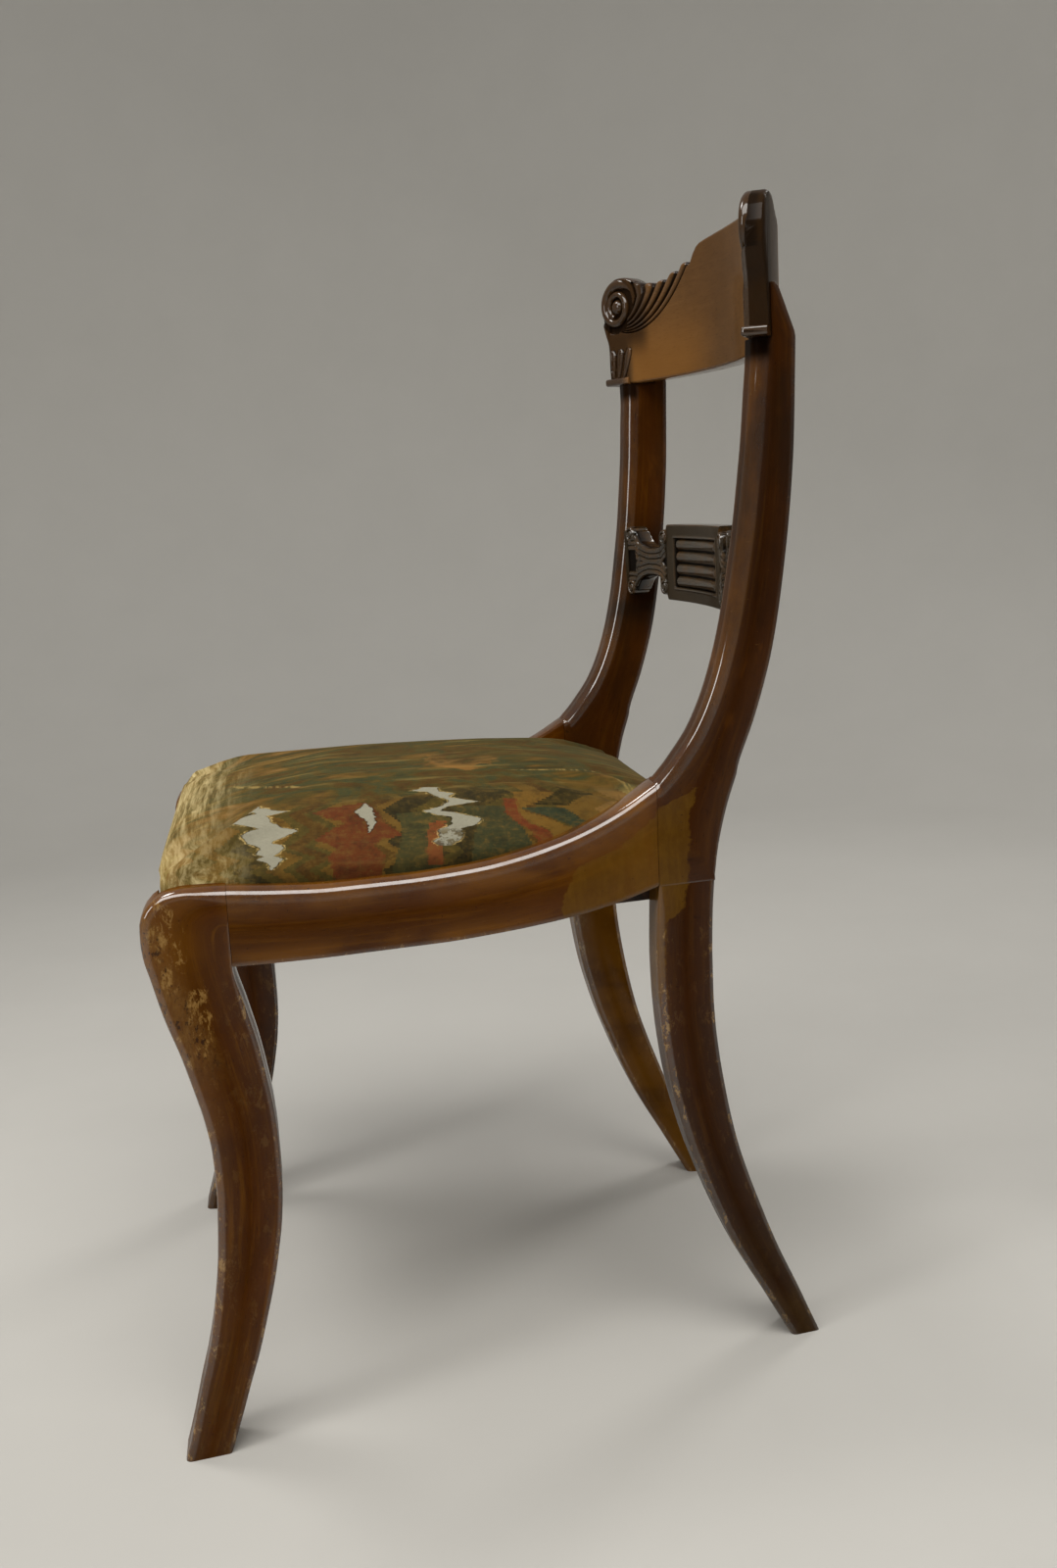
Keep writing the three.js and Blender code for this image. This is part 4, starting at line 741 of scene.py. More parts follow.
# %% [markdown]
# Carving is a relief: at each place on the board's face the wood stands a certain height
# out of it, or below it. Sculpting would do, but the ornament follows rules, so the height
# is worked out at a fine grid of places and the grid is then bent to the rail's curve.
# Near the outline the face drops away in a small round, found from each place's distance
# to the outline.

# %% Carved boards
def carved_board(name, stations, edges, relief, bend, thickness, rows, edge_radius, material):
    """A bent board whose front carries a relief; edges give its lower and upper line at the stations."""
    low, top = edges

    def spread(shares):
        along = np.repeat(stations[:, None], len(shares), 1)
        return along, low[:, None] + (top - low)[:, None] * np.asarray(shares)

    s, z = spread(np.linspace(0, 1, rows + 1))
    back_s, back_z = spread([1, .985, .96, .9, .5, .1, .04, .015, 0])
    outline = []
    for line in (np.column_stack((stations, low)), np.column_stack((stations, top))):
        for share in np.linspace(0, 1, 4, endpoint=False):
            outline += ((1 - share) * line[:-1] + share * line[1:]).tolist()
    outline += [(stations[i], height) for i in (0, -1) for height in np.linspace(low[i], top[i], 20)]
    tree = KDTree(len(outline))
    for i, (a, b) in enumerate(outline):
        tree.insert((a, b, 0), i)
    tree.balance()

    def drop(across, up):
        far = np.array([tree.find((a, b, 0))[2] for a, b in zip(across.ravel(), up.ravel())])
        near = np.clip(1 - far.reshape(across.shape) / edge_radius, 0, 1)
        return edge_radius * (1 - np.sqrt(1 - near ** 2)), near

    fall, near = drop(s, z)
    back_fall, back_near = drop(back_s, back_z)
    height = relief(s, z)
    front = bend(s, z, np.minimum(fall - height, thickness / 2 - 1))
    back = bend(back_s, back_z, thickness - back_fall)
    grain = np.stack((s, z, fall - height), -1)
    grain = np.concatenate((grain, np.stack((back_s, back_z, back_fall + 30), -1)), 1) / 1000
    groove = np.concatenate((np.clip(-height / 2.6, 0, 1), np.zeros(back_s.shape)), 1)
    raised = np.clip(height / .45, 0, 1) * .6
    exposed = np.concatenate((np.maximum(near > .35, raised), back_near > .35), 1)
    return skin(name, np.concatenate((front, back), 1), material, grain=grain, groove=groove, edge=exposed)


def smooth(low, high, value):
    t = np.clip((value - low) / (high - low), 0, 1)
    return t * t * (3 - 2 * t)


def dome(share):
    """Height of a round top, 1 in its middle and 0 from a share of 1 outwards."""
    return np.sqrt(np.maximum(1 - share ** 2, 0))


# %% [markdown]
# At each end of the crest a scroll winds in to a round eye, and five gadroons spring from
# under it and fan out towards the middle. Their grooves are spirals about the eye. A place
# is turned round into the fan's own terms, which gadroon it is on and how far along, and
# those two numbers give its height.

# %% Crest rail
crest_low_table = [(0, 0), (.951, 0), (.955, .25), (.978, .428), (1, .558)]
crest_top_table = [
    (0, 1), (.11, .997), (.2, .991), (.26, .984), (.305, .974), (.35, .92), (.37, .875), (.377, .855),
    (.444, .825), (.51, .797), (.57, .778), (.64, .762), (.71, .766), (.771, .8), (.803, .84), (.861, .878),
    (.897, .882), (.946, .848), (.982, .777), (1, .67)]
eye_s, eye_z = crest_half * .906, crest_low + crest_tall * .647
# The fan: its inner radius, its outer radius at its narrowest, and where it ends, in mm and degrees
fan_inner, fan_outer, fan_narrow, fan_start, fan_end = 11.5, 17.3, 40, 8, 101
fan_reach, ground, ledge_tall = .98, 2.8, 6.5


def fan_place(s, z):
    """Angle and distance about the eye, and the gadroon's number and share along it."""
    across, below = eye_s - np.abs(s), eye_z - z
    distance = np.hypot(across, below)
    angle = np.degrees(np.arctan2(across, below))
    outer = fan_outer * np.exp(.000098 * (np.minimum(angle, fan_end) + fan_narrow) ** 2)
    spread = np.log(np.maximum(distance, 1) / fan_inner) / np.log(outer / fan_inner)
    flute = (-.07 + np.sqrt(np.maximum(.0049 + .04 * (fan_reach - spread), 0))) / .02
    swell = np.abs(np.sin(math.pi * flute))
    start = fan_start + 7 * flute
    end = fan_end + 20 * (np.maximum(0, .8 - spread) / .334) ** 2 + 2.4 * swell
    outside = (spread - fan_reach) * np.log(outer / fan_inner) * distance
    return angle, distance, flute, swell, start, end, outside


def crest_relief(s, z):
    angle, distance, flute, swell, start, end, outside = fan_place(s, z)
    height = np.where(distance < 24, -3.2 * smooth(24, 23, distance), 0.0)
    share = (angle - start) / (end - start)
    inside = (flute >= 0) & (flute <= 5) & (share >= 0) & (share <= 1) & (distance > 11)
    to_end = np.radians(end - angle) * distance
    ridge = 3.3 * swell ** .9 * np.clip(share / .16, 0, 1) * dome(1 - np.clip(to_end / 5, 0, 1))
    height = np.where(inside, ridge - ground, height)
    border = (outside > 0) & (outside < 1.4) & (angle > fan_start) & (angle < fan_end)
    height = np.where(border, -ground * (1 - smooth(0, 1.4, outside)), height)
    for top, foot in zip((.936, .884, .83), (.93, .9, .867)):
        share = np.clip((z - crest_low - ledge_tall) / 25, 0, 1)
        middle = crest_half * (foot + (top - foot) * share)
        radius = (1.1 + 3.3 * share ** .8) * np.sqrt(np.clip((1.02 - share) / .2, 0, 1))
        away = np.abs(np.abs(s) - middle)
        leaf = 1.2 * dome(away / np.maximum(radius, .01)) - 1.5 * np.exp(-(away / .55) ** 2) * (share > .25)
        above = z > crest_low + ledge_tall
        rim = (away >= radius) & (away < radius + 1.2) & (z < crest_low + 32) & above
        height = np.where(rim, np.minimum(height, -1.4), height)
        height = np.where((away < radius) & above & (z < crest_low + 31.8), leaf, height)
    return height


def crest_outline(stations):
    """Lower and upper edges; the gadroons' round ends stand a little past the upper one."""
    place = np.abs(stations) / crest_half
    low = crest_low + crest_tall * read(crest_low_table, place)
    top = crest_low + crest_tall * read(crest_top_table, place)
    up = np.linspace(-8, 9, 171)
    s, z = np.repeat(stations[:, None], len(up), 1), top[:, None] + up
    angle, distance, flute, _, start, end, _ = fan_place(s, z)
    inside = (flute >= 0) & (flute <= 5) & (angle > start) & (angle < end - 60 / distance)
    reach = np.where(inside, z, -1e9).max(1)
    return low, np.maximum(top, np.where(place < .85, reach, top))


def mirrored(half):
    return np.concatenate((-half[:0:-1], half))


plain_half = np.linspace(0, 84, 15)[:-1]
crest_stations = mirrored(np.concatenate((plain_half, np.linspace(84, crest_half, 200))))
crest_mesh = carved_board("crest", crest_stations, crest_outline(crest_stations), crest_relief, crest_bend,
                          crest_thickness, 150, 2.4, crest_material)
fitted["crest_rail"] = show("carved_crest_rail", crest_mesh, 50)

# %% Ledges under the crest's ends
def ledge(hand, from_s=.835, to_s=.982, low=.02, front=-1.6, soft=2.0):
    """A bar with soft edges that follows the crest's face; from_s and to_s are shares of half the crest."""
    inner_s, outer_s = hand * crest_half * from_s, hand * crest_half * to_s
    turn = quarter(soft, 5)
    ends = [(outer_s - hand * drop, inset) for inset, drop in turn]
    rings = []
    for s, tuck in [(s, 0) for s in np.linspace(inner_s, ends[0][0], 10)[:-1]] + ends:
        under, over, face = crest_low + low + tuck, crest_low + ledge_tall - tuck, front + tuck
        ring = [(under + drop, face + inset) for inset, drop in turn[::-1]]
        ring += [(over - drop, face + inset) for inset, drop in turn]
        ring += [(over, crest_thickness), (under, crest_thickness)]
        rings.append([crest_bend(s, z, d) for z, d in ring])
    flat = np.array(rings)
    return skin("ledge", flat, crest_material, grain=flat / 1000, edge=np.ones(flat.shape[:2]))


ledges = {side_name: show(f"{side_name}_crest_ledge", ledge(hand)) for hand, side_name in hands}

# %% [markdown]
# The middle rail has a tablet with a sunk panel, and on each side two C-scrolls back to
# back. The strands of a scroll follow its hollow edge, so their height depends only on how
# far a place is from that edge.

# %% Middle rail
scroll_table = [
    (.479, .66), (.525, .56), (.58, .43), (.64, .39), (.71, .385), (.78, .43), (.83, .52), (.865, .68),
    (.89, .82), (.93, .86), (1.02, .85)]
scroll_ends = [(.52 * middle_half, .66 * middle_tall / 2), (.935 * middle_half, .74 * middle_tall / 2)]
end_radius, tablet_half, panel_half, panel_tall = 6.8, 79.3, 62, 21


def scroll_edge(across):
    return middle_tall / 2 * read(scroll_table, across / middle_half)


def middle_relief(s, z):
    """The panel and its rim, then the strands of the arms, then the round ends over them."""
    across, up = np.abs(s), np.abs(z - middle_z)
    panel = np.minimum(panel_half - across, panel_tall - up)
    height = np.where(panel > 0, -2.6 * smooth(0, .8, panel), 0.0)
    rim = (panel <= 0) & (panel > -2.2)
    height = np.where(rim, .7 * np.sin(math.pi * np.clip(-panel / 2.2, 0, 1)), height)
    edge = np.minimum(scroll_edge(across), 24.05)
    slope = np.gradient(edge, axis=0) / np.maximum(np.gradient(across, axis=0) ** 2, .01) ** .5
    from_edge = (edge - up) / np.sqrt(1 + slope ** 2)
    arm = (across > 82) & (across < 158)
    height = np.where((across > tablet_half) & (across < 160), -1.3, height)
    for order in range(3):
        away = from_edge - 3.2 - 4.6 * order
        strand = -1.2 + np.sqrt(np.maximum(2.55 ** 2 - away ** 2, 0)) - .25 * order
        height = np.where(arm & (np.abs(away) < 2.5), np.maximum(height, strand), height)
    for centre_s, centre_z in scroll_ends:
        away = np.hypot(across - centre_s, up - centre_z)
        ball, ring = 2.2 * dome(away / 3.5), .6 + 1.2 * dome((away - 5.4) / 1.3)
        boss = np.where(away < 3.5, ball, np.where(away < 4.1, -.5, ring))
        height = np.where(away < end_radius, boss, height)
    return height


def middle_outline(stations):
    across = np.abs(stations)
    rise = np.where(across <= tablet_half, middle_tall / 2, scroll_edge(across))
    for centre_s, centre_z in scroll_ends:
        reach = np.maximum(end_radius ** 2 - (across - centre_s) ** 2, 0)
        rise = np.where(reach > 0, np.maximum(rise, centre_z + np.sqrt(reach)), rise)
    return middle_z - rise, middle_z + rise


plain_half = np.linspace(0, 60, 12)[:-1]
middle_stations = mirrored(np.concatenate((plain_half, np.linspace(60, middle_half + 1.2, 150))))
middle_mesh = carved_board("middle", middle_stations, middle_outline(middle_stations), middle_relief,
                           middle_bend, middle_thickness, 110, 1.4, middle_material)
fitted["middle_rail"] = show("carved_middle_rail", middle_mesh, 50)

# %% [markdown]
# The scroll's roll follows a spiral that winds in and thins. A curve drawn by hand would
# have to be redrawn for each change, so a tree of Geometry Nodes works it out: a line of
# points, moved on to the spiral, given a round profile, and bent to the crest's arc. Its
# sizes are named inputs, and the same tree serves both ends.

# %% Trees of geometry nodes
def new_tree(name, **inputs):
    """A geometry tree with named inputs; gives the means to add nodes, the inputs and their values."""
    tree = bpy.data.node_groups.new(name, "GeometryNodeTree")
    tree.interface.new_socket("Geometry", in_out="OUTPUT", socket_type="NodeSocketGeometry")
    values = {}
    for key, value in inputs.items():
        kind = {int: "Int", float: "Float"}.get(type(value), "Material")
        socket = tree.interface.new_socket(key, in_out="INPUT", socket_type=f"NodeSocket{kind}")
        values[socket.identifier] = value
    entry = tree.nodes.new("NodeGroupInput")
    nodes = Nodes(tree)
    return nodes, {s.name: Flow(nodes, s) for s in entry.outputs if s.name}, values


def grown(nodes, values, geometry):
    """The plain mesh that a tree makes for these values."""
    leave = nodes.tree.nodes.new("NodeGroupOutput")
    nodes.tree.links.new(geometry.socket, leave.inputs[0])
    carrier = placed("carrier", bpy.data.meshes.new("carrier"))
    modifier = carrier.modifiers.new("nodes", "NODES")
    modifier.node_group = nodes.tree
    for identifier, value in values.items():
        modifier[identifier] = value
    return settled(carrier)


def bent_on_board(n, geometry, inputs):
    """Keeps each point's flat place as its grain, bends it to the board's arc and finishes it."""
    place = n.add("GeometryNodeInputPosition", None)
    for kind, key, value in (("FLOAT_VECTOR", "grain", place), ("FLOAT", "edge", .6)):
        geometry = n.add("GeometryNodeStoreNamedAttribute", {"data_type": kind, "domain": "POINT"},
                         geometry, None, key, value)
    s, depth, z = n.split(place)
    radius, angle = inputs["Board"] + depth, s / inputs["Board"]
    bent = n.vector(radius * angle.math("SINE"), inputs["Axis"] + radius * angle.math("COSINE"), z)
    geometry = n.add("GeometryNodeSetPosition", None, geometry, None, bent)
    geometry = n.add("GeometryNodeRealizeInstances", None, geometry)
    return n.add("GeometryNodeSetMaterial", None, geometry, None, inputs["Finish"])


# %% Scrolls of the crest
def scroll(hand):
    n, g, values = new_tree(
        "scroll", Points=220, Hand=float(hand), Turns=1.62, Start=.0232, Ring=.008, Decay=.00383, From=118.0,
        Roll=.255, Rise=.0012, Ground=.0018, Eye_s=eye_s / 1000, Eye_z=eye_z / 1000, Eye=.0066,
        Board=crest_radius / 1000, Axis=(crest_axis + knee_y) / 1000, Finish=crest_material)
    share = n.add("GeometryNodeInputIndex", None) / (g["Points"] - 1)
    turned = share * g["Turns"] * 360
    distance = g["Ring"] + (g["Start"] - g["Ring"]) * (turned * g["Decay"] * -1).math("EXPONENT")
    angle = (g["From"] + turned) * (math.pi / 180)
    radius = distance * g["Roll"] * share.step(-.05, .10)
    depth = (distance * g["Roll"] - g["Rise"]).math("MAXIMUM", g["Ground"])
    across = g["Hand"] * (g["Eye_s"] - distance * angle.math("SINE"))
    path = n.add("GeometryNodeMeshLine", None, g["Points"])
    path = n.add("GeometryNodeSetPosition", None, path, None,
                 n.vector(across, depth, g["Eye_z"] - distance * angle.math("COSINE")))
    path = n.add("GeometryNodeMeshToCurve", None, path)
    circle = n.add("GeometryNodeCurvePrimitiveCircle", None, Resolution=14, Radius=1.0)
    roll = n.add("GeometryNodeCurveToMesh", None, path, circle, Scale=radius, Fill_Caps=True)
    ball = n.add("GeometryNodeMeshUVSphere", None, 28, 14, 1.0)
    ball = n.add("GeometryNodeTransform", None, ball, Scale=n.vector(g["Eye"], .0046, g["Eye"]),
                 Translation=n.vector(g["Hand"] * g["Eye_s"], .0030, g["Eye_z"]))
    join = n.tree.nodes.new("GeometryNodeJoinGeometry")
    for part in (roll, ball):
        n.tree.links.new(part.socket, join.inputs[0])
    return grown(n, values, bent_on_board(n, Flow(n, join.outputs[0]), g))


scrolls = {side_name: show(f"{side_name}_crest_scroll", scroll(hand), 50) for hand, side_name in hands}

# %% [markdown]
# Reeds are half-round rods side by side in the tablet's panel. One reed is instanced on a
# short column of points, and the whole stack is bent to the rail's arc.

# %% Reeds of the middle rail
def reeds(points=81):
    n, g, values = new_tree(
        "reeds", Reeds=4, Pitch=.0105, Half=.0602, Radius=.0049, Depth=.0044, Low=(middle_z - 15.75) / 1000,
        Board=middle_radius / 1000, Axis=(middle_axis + knee_y) / 1000, Finish=middle_material)
    along = n.add("GeometryNodeInputIndex", None) / (points - 1) * 2 - 1
    line = n.add("GeometryNodeMeshLine", None, points)
    line = n.add("GeometryNodeSetPosition", None, line, None, n.vector(along * g["Half"], 0.0, 0.0))
    line = n.add("GeometryNodeMeshToCurve", None, line)
    circle = n.add("GeometryNodeCurvePrimitiveCircle", None, Resolution=20, Radius=1.0)
    close = along.math("ABSOLUTE").step(1.015, .93)
    reed = n.add("GeometryNodeCurveToMesh", None, line, circle, Scale=g["Radius"] * close, Fill_Caps=True)
    column = n.add("GeometryNodeMeshLine", None, g["Reeds"], None, n.vector(0.0, g["Depth"], g["Low"]),
                   n.vector(0.0, 0.0, g["Pitch"]))
    stack = n.add("GeometryNodeInstanceOnPoints", None, column, None, reed)
    stack = n.add("GeometryNodeRealizeInstances", None, stack)
    return grown(n, values, bent_on_board(n, stack, g))


reed_piece = show("middle_rail_reeds", reeds(), 50)

# %% [markdown]
# The loose seat is a stuffed pad under velvet. Its outline in plan follows the rebate, and
# its top is crowned. A pad modelled as a block looks hard, so the closed form is remeshed
# to an even net and blown up gently as cloth, held at its lower edge, and then kept clear
# of the rails. The bottom is opened and the cover gets the velvet's thickness.

# %% Seat outline
seat_gap, cloth_thickness = .9, 1.2
seat_edge, seat_crown = 431.0, 455.0
seat_middle = (rebate_front + rebate_back) / 2
front_corner, back_corner = 9, 16
front_bow, back_bow = 5.5, 4


def seat_half(y):
    inside = np.minimum(y, rear_joint)
    return outer_x(inside, ledge_height) - lip_width(inside) - .3 * np.maximum(0, y - rear_joint) - seat_gap


def seat_outline(inset, bulge):
    """The seat's outline in plan, from the middle of the front round to the middle of the back, and back."""
    front, back = rebate_front + seat_gap + inset, rebate_back - inset
    front_y, back_y = front + front_corner, back - back_corner
    turn = np.linspace(0, math.pi / 2, 7)

    def half(y):
        return seat_half(y) - inset

    points = [(a, front - front_bow * bulge * max(0, 1 - (a / 182) ** 6))
              for a in (half(front_y) - front_corner) * np.linspace(0, 1, 16)[:-1]]
    points += [(half(front_y) - front_corner + front_corner * math.sin(a),
                front_y - front_corner * math.cos(a)) for a in turn]
    points += [(half(y), y) for y in np.linspace(front_y, back_y, 30)[1:-1]]
    reach = half(back_y) - back_corner
    points += [(reach + back_corner * math.cos(a), back_y + back_corner * math.sin(a)) for a in turn]
    points += [(a, back + back_bow * bulge * max(0, 1 - (a / reach) ** 6))
               for a in reach * np.linspace(1, 0, 12)[1:]]
    return np.array(points + [(-a, b) for a, b in points[-2:0:-1]], float)


def seat_body():
    """The seat as a closed form: upright below, rounded in over its edge, and crowned."""
    # Step round the edge, then the shares of its inset, of its rise and of the outline's bulge
    edge_turn = [(0, 0, -.2, .3), (1, 0, .25, 1), (2, .12, .62, 1), (3, .45, .88, .85), (4, 1, 1, .6)]
    layers = [(0.0, .3, 390.6), (0.0, .3, 398)]
    for t in np.linspace(0, 4, 13):
        tuck, up, bulge = (float(read(edge_turn, t, c)) for c in (1, 2, 3))
        layers.append((9 * tuck, bulge, seat_height + (seat_edge - seat_height) * up))
    rings = []
    for inset, bulge, z in layers:
        ring = seat_outline(inset, bulge)
        rings.append(np.column_stack((ring, np.full(len(ring), z))))
    rim = rings[-1]
    widest, deepest = rim[:, 0].max(), (rebate_back - rebate_front) / 2
    for share in (.94, .87, .79, .7, .6, .5, .4, .3, .2, .1, .03):
        corner = np.maximum(1, np.hypot(rim[:, 0] / widest, (rim[:, 1] - seat_middle) / deepest))
        reach = share * corner ** (share - 1)
        z = seat_edge + (seat_crown - seat_edge) * (1 - share ** 2.2)
        rings.append(np.column_stack((rim[:, 0] * reach, seat_middle + (rim[:, 1] - seat_middle) * reach,
                                      np.full(len(rim), z))))
    return skin("seat", rings, side_material)


# %% Stuffed seat
def even_net(mesh, size):
    thing = placed("net", mesh)
    remesh = thing.modifiers.new("net", "REMESH")
    remesh.mode, remesh.voxel_size = "VOXEL", size
    return settled(thing)


def blown_up(mesh, pressure, held_below, frames=20):
    """The mesh after a short cloth simulation with pressure inside and its lower edge held."""
    thing = placed("blown", mesh)
    held = thing.vertex_groups.new(name="held")
    for vertex in mesh.vertices:
        held.add([vertex.index], 1.0 if vertex.co.z < held_below else 0.0, "REPLACE")
    cloth = thing.modifiers.new("cloth", "CLOTH")
    cloth.settings.vertex_group_mass = "held"
    cloth.settings.use_pressure, cloth.settings.uniform_pressure_force = True, pressure
    cloth.settings.effector_weights.gravity = 0
    cloth.point_cache.frame_start, cloth.point_cache.frame_end = 1, frames
    for step in range(1, frames + 1):
        bpy.context.scene.frame_set(step)
    mesh = settled(thing)
    bpy.context.scene.frame_set(1)
    return mesh


def points_of(mesh, key="co"):
    flat = np.empty(len(mesh.vertices) * 3, np.float32)
    mesh.vertices.foreach_get(key, flat)
    return flat.reshape(-1, 3).astype(float)


def move_points(mesh, points):
    mesh.vertices.foreach_set("co", points.astype(np.float32).ravel())
    mesh.update()


def kept_clear(points, front=8, last_width=404, back=404.6, lip_top=.4165, over_lip=.0006, top=.458):
    """Points of the cover kept inside the rebate and between the uprights; it may lean over the lip."""
    y = np.clip(points[:, 1] * 1000 - knee_y, front, last_width)
    room = seat_half(y) / 1000 + np.where(points[:, 2] > lip_top, over_lip, 0)
    points[:, 0] = np.clip(points[:, 0], -room, room)
    points[:, 1] = np.clip(points[:, 1], (knee_y + front) / 1000, (knee_y + back) / 1000)
    points[:, 2] = np.minimum(points[:, 2], top)
    return points


net_size, pressure, held_below, most_moved = .0055, 4.0, .418, .006
seat_net = even_net(seat_body(), net_size)
seat_start = points_of(seat_net)
seat_net = blown_up(seat_net, pressure, held_below)
moved = points_of(seat_net) - seat_start
far = np.linalg.norm(moved, axis=1, keepdims=True)
move_points(seat_net, kept_clear(seat_start + moved * np.minimum(1, most_moved / np.maximum(far, 1e-9))))
print("the stuffing moved the cover by up to", round(float(far.max()) * 1000, 1), "mm before the cap")

# %% Velvet cover
def open_below(mesh, height):
    """The upper skin alone, with its lower edge drawn level."""
    work = bmesh.new()
    work.from_mesh(mesh)
    bmesh.ops.bisect_plane(work, geom=work.verts[:] + work.edges[:] + work.faces[:], plane_co=(0, 0, height),
                           plane_no=(0, 0, -1), clear_outer=True)
    work.to_mesh(mesh)
    work.free()
    return mesh


def cover_mesh(net, lower_edge=.3912, fold_height=.434):
    """The open skin made finer, with each point's place on the flat cloth kept, and then made thick."""
    cover = placed("cover", open_below(net, lower_edge))
    smoothing = cover.modifiers.new("subdivision", "SUBSURF")
    smoothing.levels = smoothing.render_levels = 1
    mesh = settled(cover)
    points = kept_clear(points_of(mesh))
    move_points(mesh, points)
    normal = points_of(mesh, "normal")
    flat = normal[:, :2] / np.maximum(np.linalg.norm(normal[:, :2], axis=1, keepdims=True), .05)
    over = np.maximum(0, fold_height - points[:, 2:3])
    cloth = np.column_stack((points[:, :2] + flat * over, np.zeros(len(points)))).astype(np.float32)
    mesh.attributes.new("cloth", "FLOAT_VECTOR", "POINT").data.foreach_set("vector", cloth.ravel())
    cover = placed("cover", mesh)
    shell = cover.modifiers.new("thickness", "SOLIDIFY")
    shell.thickness, shell.offset = cloth_thickness / 1000, -1
    return settled(cover)


# %% [markdown]
# The flames that show best, the zigzags where the pile has worn to bare pale backing, and
# two creases follow outlines that were measured on the chair. Each is a short table in the
# cloth's own coordinates, u across the seat and v from front to back, which follow the
# cloth down its sides.

# %% Outlines on the velvet
# Each outline: a place along u, then the lower and upper v of the shape there
worn_lines = [
    [(.12, -.1655, -.165), (.128, -.1704, -.1647), (.132, -.1734, -.1604), (.138, -.1676, -.1539),
     (.141, -.1674, -.1449), (.1443, -.185, -.152), (.147, -.1909, -.1604), (.158, -.1795, -.1568),
     (.1625, -.1719, -.15), (.1648, -.1661, -.1424), (.1671, -.1716, -.1396), (.1719, -.1781, -.1498),
     (.1747, -.1754, -.1559), (.1779, -.1718, -.158), (.1818, -.1668, -.1507), (.1859, -.1654, -.15),
     (.1917, -.1692, -.1525), (.196, -.163, -.156), (.2, -.167, -.15), (.204, -.16, -.152),
     (.212, -.158, -.157)],
    [(.1377, -.09, -.0894), (.1437, -.0928, -.0866), (.1491, -.0975, -.0845), (.155, -.0947, -.0843),
     (.1599, -.0898, -.0838), (.1673, -.0901, -.0869), (.1715, -.0902, -.0899)],
    [(.1141, -.045, -.0432), (.1162, -.0466, -.0336), (.1198, -.0534, -.0346), (.124, -.0427, -.035),
     (.1288, -.0397, -.0245), (.1349, -.0346, -.0287), (.1397, -.0287, -.0181), (.1422, -.0294, -.0078),
     (.1457, -.0345, -.0206), (.1475, -.0402, -.0323), (.1511, -.0487, -.0374), (.1547, -.0399, -.0243),
     (.1577, -.0299, -.0132), (.1599, -.0294, -.0077), (.1667, -.0309, -.0127), (.1714, -.0389, -.0226),
     (.176, -.0394, -.0233), (.1833, -.0399, -.0221), (.188, -.045, -.026), (.193, -.04, -.033)]]
flames = [
    ("38371d", [(.15, -.07, -.042), (.16, -.068, -.03), (.172, -.066, -.036), (.24, -.08, -.045)]),
    ("35361f", [(.1462, -.03, .01), (.155, -.022, .01), (.168, -.014, .018), (.24, -.02, .05)]),
    ("5a2c12", [(.1363, -.0963, -.089), (.1413, -.12, -.0871), (.1474, -.1284, -.0836), (.1541, -.12, -.08),
                (.1597, -.1066, -.0792), (.1696, -.1223, -.07), (.1771, -.1308, -.0668),
                (.1808, -.122, -.0835), (.19, -.1136, -.0869), (.2, -.12, -.08), (.24, -.11, -.085)]),
    ("703a1c", [(.159, -.04, -.034), (.163, -.048, -.036), (.1667, -.046, -.034), (.171, -.049, -.041),
                (.176, -.05, -.04), (.21, -.05, -.038)]),
    ("6b4d1b", [(.1279, .0147, .0257), (.1306, .0187, .0584), (.1405, .0179, .0361), (.1478, .0195, .0204),
                (.1562, .0214, .0349), (.1668, .03, .0485), (.1748, .0411, .0595), (.22, .06, .08)]),
    ("642f14", [(.1379, .0097, .0197), (.1523, .0094, .0193), (.1671, .0177, .0272), (.1764, .0263, .0411),
                (.22, .045, .06)]),
    ("2a3322", [(.1462, .0204, .0537), (.1508, .0298, .0583), (.1627, .0476, .067), (.172, .0595, .0766),
                (.2, .075, .095)]),
    ("262009", [(.1191, .0498, .0706), (.1239, .056, .0815), (.1356, .0435, .0668), (.1447, .0311, .0563)])]
creases = [[(.012, -.192, -.188), (.04, -.178, -.172), (.066, -.157, -.150), (.085, -.138, -.131)],
           [(.084, .02, .085), (.087, .05, .098), (.09, .094, .102), (.1, .103, .110), (.118, .111, .116)]]


# %% [markdown]
# Flame-stitch velvet has bands of colour across the seat whose borders run in stepped
# zigzags, and each flame fades through its shades. To draw every flame would fill pages, so
# the bands between the measured ones come from steps and noise, and on the far side the
# pattern is clouds of the same colours. The pile is brushed, with painted sheen along its
# streaks, and darkened by use, worn to straw colour at the edges, and where it is gone the
# woven ground shows, with a painted shadow along its edge.

# %% Velvet
def stepped(value, size):
    return (value / size).math("FLOOR") * size


def widened(rows, by):
    return [(a, low - by, high + by) for a, low, high in rows]


